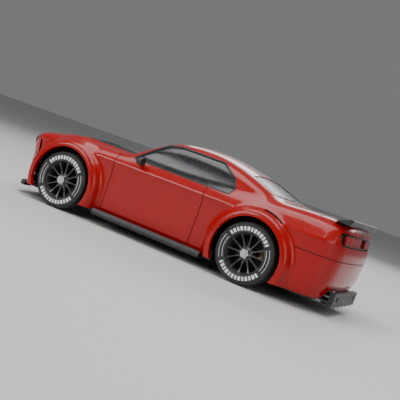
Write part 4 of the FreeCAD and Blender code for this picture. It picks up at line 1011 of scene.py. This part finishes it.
def make_tyre_parts():
    """A drift tyre round the Y axis, its outer side towards +Y."""
    half, radius = TYRE_HALF, TYRE_RADIUS
    bead = RIM_FLANGE + 0.1
    profile = [
        (bead, half - 0.35), (bead + 0.5, half - 0.12), (bead + 1.5, half - 0.02), (radius - 2.4, half - 0.02),
        (radius - 1.6, half - 0.12), (radius - 0.9, half - 0.42), (radius - 0.35, half - 0.95),
        (radius - 0.08, half - 1.7), (radius, half - 2.4),
    ]
    tread = []
    for centre in (3.6, 0.0, -3.6):
        tread += [(radius, centre + 0.55), (radius - 0.55, centre + 0.40), (radius - 0.55, centre - 0.40),
                  (radius, centre - 0.55)]
    other = [(r, -y) for r, y in reversed(profile)]
    full = profile + tread + other + [(RIM_SEAT, -half + 1.5), (RIM_SEAT, half - 1.5)]
    count = 216
    points, faces = lathe(full, count)
    points = np.array(points).reshape(count, len(full), 3)
    blocks = np.arange(count) % 6 < 1
    for j, (r, y) in enumerate(full):
        if r > radius - 0.2 and 1.0 < abs(y) < half - 1.0:
            points[blocks, j] *= np.array([(radius - 0.32) / radius, 1, (radius - 0.32) / radius])
    return points.reshape(-1, 3), faces


def arc_block(inner, outer, start, end, y_low, y_high, steps):
    """A raised mark on the side of the tyre, between two radii and two angles."""
    rings = []
    for i in range(steps + 1):
        angle = start + (end - start) * i / steps
        c, s = math.cos(angle), math.sin(angle)
        section = ((outer, y_low), (outer, y_high), (inner, y_high), (inner, y_low))
        rings.append([(r * c, y, r * s) for r, y in section])
    return loft(rings)


DASHES_EACH_WAY = 6
DASH_PITCH = math.radians(8.6)


def make_marks():
    """Generic white marks: two arcs of plain dashes in two lengths, and thin double lines between."""
    marks = Pieces()
    low, high = TYRE_HALF - 0.15, TYRE_HALF + 0.05
    inner, outer = RIM_FLANGE + 0.5, RIM_FLANGE + 2.9
    for middle in (math.radians(90), math.radians(270)):
        for step in range(-DASHES_EACH_WAY, DASHES_EACH_WAY + 1):
            angle = middle + step * DASH_PITCH
            half = math.radians(3.1 if step % 2 else 2.3)
            marks.add(*arc_block(inner, outer, angle - half, angle + half, low, high, 3), WHITE_PRINT)
    for middle in (0.0, math.pi):
        for radius in (inner + 0.1, outer - 0.3):
            span = math.radians(27)
            marks.add(*arc_block(radius, radius + 0.22, middle - span, middle + span, low, high, 24), WHITE_PRINT)
    return marks


SPOKES = 12
NUTS = 5


def make_rim_parts():
    """Stepped barrel, slim concave spokes, hub with wheel-nut recesses."""
    rim = Pieces()
    half = RIM_HALF
    seat, flange, inside = RIM_SEAT - 0.05, RIM_FLANGE, RIM_SEAT - 1.1
    barrel = [
        (flange, half), (flange, half - 0.7), (seat, half - 1.0), (seat, -half + 1.0), (flange, -half + 0.7),
        (flange, -half), (inside + 0.1, -half), (inside - 0.1, half - 3.4), (inside + 0.35, half - 1.9),
        (inside + 0.9, half - 1.2), (flange - 0.75, half - 0.35), (flange - 0.5, half),
    ]
    rim.add(*lathe(barrel, 96), RIM)
    hub_out = 5.35
    hub = [
        (1.62, -5.4), (3.9, -5.4), (3.9, hub_out - 3.0), (4.2, hub_out - 1.6), (4.0, hub_out - 0.45),
        (3.6, hub_out - 0.1), (2.5, hub_out - 0.1), (2.3, hub_out - 0.55), (1.62, hub_out - 0.55),
    ]
    rim.add(*lathe(hub[::-1], 48), RIM)
    stations = [
        (3.4, 1.15, 2.4, 4.7), (4.6, 0.72, 2.9, 4.55), (6.5, 0.50, 3.3, 4.6), (9.0, 0.46, 3.6, 4.9),
        (inside - 0.7, 0.56, 3.7, 5.35), (inside + 0.35, 0.95, 3.6, 5.6),
    ]
    for i in range(SPOKES):
        rings = []
        for radius, wide, back, front in stations:
            edge = min(0.22, wide * 0.45)
            ring = [
                (radius, back, -wide * 0.75), (radius, front - edge * 1.4, -wide), (radius, front, -wide + edge),
                (radius, front, wide - edge), (radius, front - edge * 1.4, wide), (radius, back, wide * 0.75),
            ]
            rings.append(ring)
        points, faces = loft(rings)
        rim.add(turned(points, 2 * math.pi * i / SPOKES), [f[::-1] for f in faces], RIM)
    for i in range(NUTS):
        nut = [(r * 0.42, y) for r, y in ((1.0, hub_out - 0.3), (1.0, hub_out + 0.05), (0.72, hub_out + 0.16))]
        nut = nut + [(0.0001, hub_out + 0.16), (0.0001, hub_out - 0.3)]
        points, faces = lathe(nut[::-1], 6)
        angle = 2 * math.pi * (i + 0.5) / NUTS
        rim.add(shifted(points, 3.02 * math.cos(angle), 0, 3.02 * math.sin(angle)), faces, STEEL)
    return rim


def make_wheels():
    tyre_points, tyre_faces = make_tyre_parts()
    tyre = Pieces()
    tyre.add(tyre_points, tyre_faces, TYRE)
    marks = make_marks()
    rim = make_rim_parts()
    for end, wheel_x in (("front", FRONT_X), ("rear", REAR_X)):
        for word, side in (("left", 1), ("right", -1)):
            body = f"wheel_front_{word}" if end == "front" else "rear_axle_unit"
            place = {"move": (wheel_x, side * WHEEL_Y, AXLE_Z), "flip": side < 0}
            corner = f"{end}_{word}"
            tyre.object(f"drift_tyre_{corner}", body, "tyre", [f"tyre_{corner}"], sharp=38, **place)
            rim.object(f"spoked_rim_{corner}", body, "rim", [f"rim_{corner}"], sharp=34, **place)
            marks.object(f"tyre_marks_{corner}", body, "tyre", **place)


make_wheels()


# ---------------------------------------------------------------- CAD nodes that stay


def finish_cad_nodes():
    slots = {row["node"]: row["material_slot"] for row in frame["record"]["subparts"]}
    soft_edges = {"chassis_black": 0.25, "dark_grey": 0.2, "black_trim": 0.3, "gear_white": 0.08, "steel": 0.12,
                  "cell_wrap": 0.4, "light_bar": 0.3}
    for node, obj in frame["nodes"].items():
        if obj.hide_render:
            continue
        slot = slots[node]
        material = SLOT_MATERIALS[slot]
        obj.data.materials.clear()
        obj.data.materials.append(material)
        if slot in soft_edges:
            round_edges(obj, soft_edges[slot])


finish_cad_nodes()


# ---------------------------------------------------------------- floor, light and camera


def make_floor():
    mesh = bpy.data.meshes.new("floor")
    size = 6.0
    mesh.from_pydata([(-size, -size, 0), (size, -size, 0), (size, size, 0), (-size, size, 0)], [], [(0, 1, 2, 3)])
    floor = bpy.data.objects.new("floor", mesh)
    bpy.context.scene.collection.objects.link(floor)
    material = new_material("pale_floor", (0.62, 0.62, 0.61), 0.6)
    mesh.materials.append(material)


def area_light(name, place, target, size, power, colour=(1, 1, 1)):
    data = bpy.data.lights.new(name, "AREA")
    data.shape = "RECTANGLE"
    data.size, data.size_y = size
    data.energy = power
    data.color = colour
    light = bpy.data.objects.new(name, data)
    light.location = place
    light.rotation_mode = "QUATERNION"
    light.rotation_quaternion = (Vector(target) - Vector(place)).to_track_quat("-Z", "Y")
    bpy.context.scene.collection.objects.link(light)


def make_light():
    world = bpy.data.worlds.new("studio")
    world.use_nodes = True
    background = world.node_tree.nodes["Background"]
    background.inputs["Color"].default_value = (0.93, 0.94, 0.96, 1)
    background.inputs["Strength"].default_value = 0.20
    bpy.context.scene.world = world
    area_light("overhead", (0.05, 0.15, 0.75), (0, 0, 0.03), (0.9, 0.5), 6)
    area_light("key", (0.45, 0.75, 0.40), (0, 0, 0.03), (0.5, 0.4), 4)
    area_light("fill", (-0.70, 0.45, 0.30), (0, 0, 0.04), (0.5, 0.5), 1.6)
    area_light("back", (0.0, -0.7, 0.45), (0, 0, 0.05), (0.9, 0.3), 3)


CAMERA_DISTANCE = 0.52
CAMERA_ROLL = math.radians(19.6)


def make_camera():
    aim = Vector((-0.004, 0.0, 0.036))
    back = Vector((-0.40, 0.91, 0.05)).normalized()
    data = bpy.data.cameras.new("camera")
    data.sensor_width = 36
    data.lens = 70
    data.clip_start, data.clip_end = 0.01, 50
    camera = bpy.data.objects.new("camera", data)
    camera.location = aim + back * CAMERA_DISTANCE
    camera.rotation_mode = "QUATERNION"
    roll = Quaternion((0, 0, 1), CAMERA_ROLL)
    camera.rotation_quaternion = (-back).to_track_quat("-Z", "Y") @ roll
    bpy.context.scene.collection.objects.link(camera)
    bpy.context.scene.camera = camera


make_floor()
make_light()
make_camera()
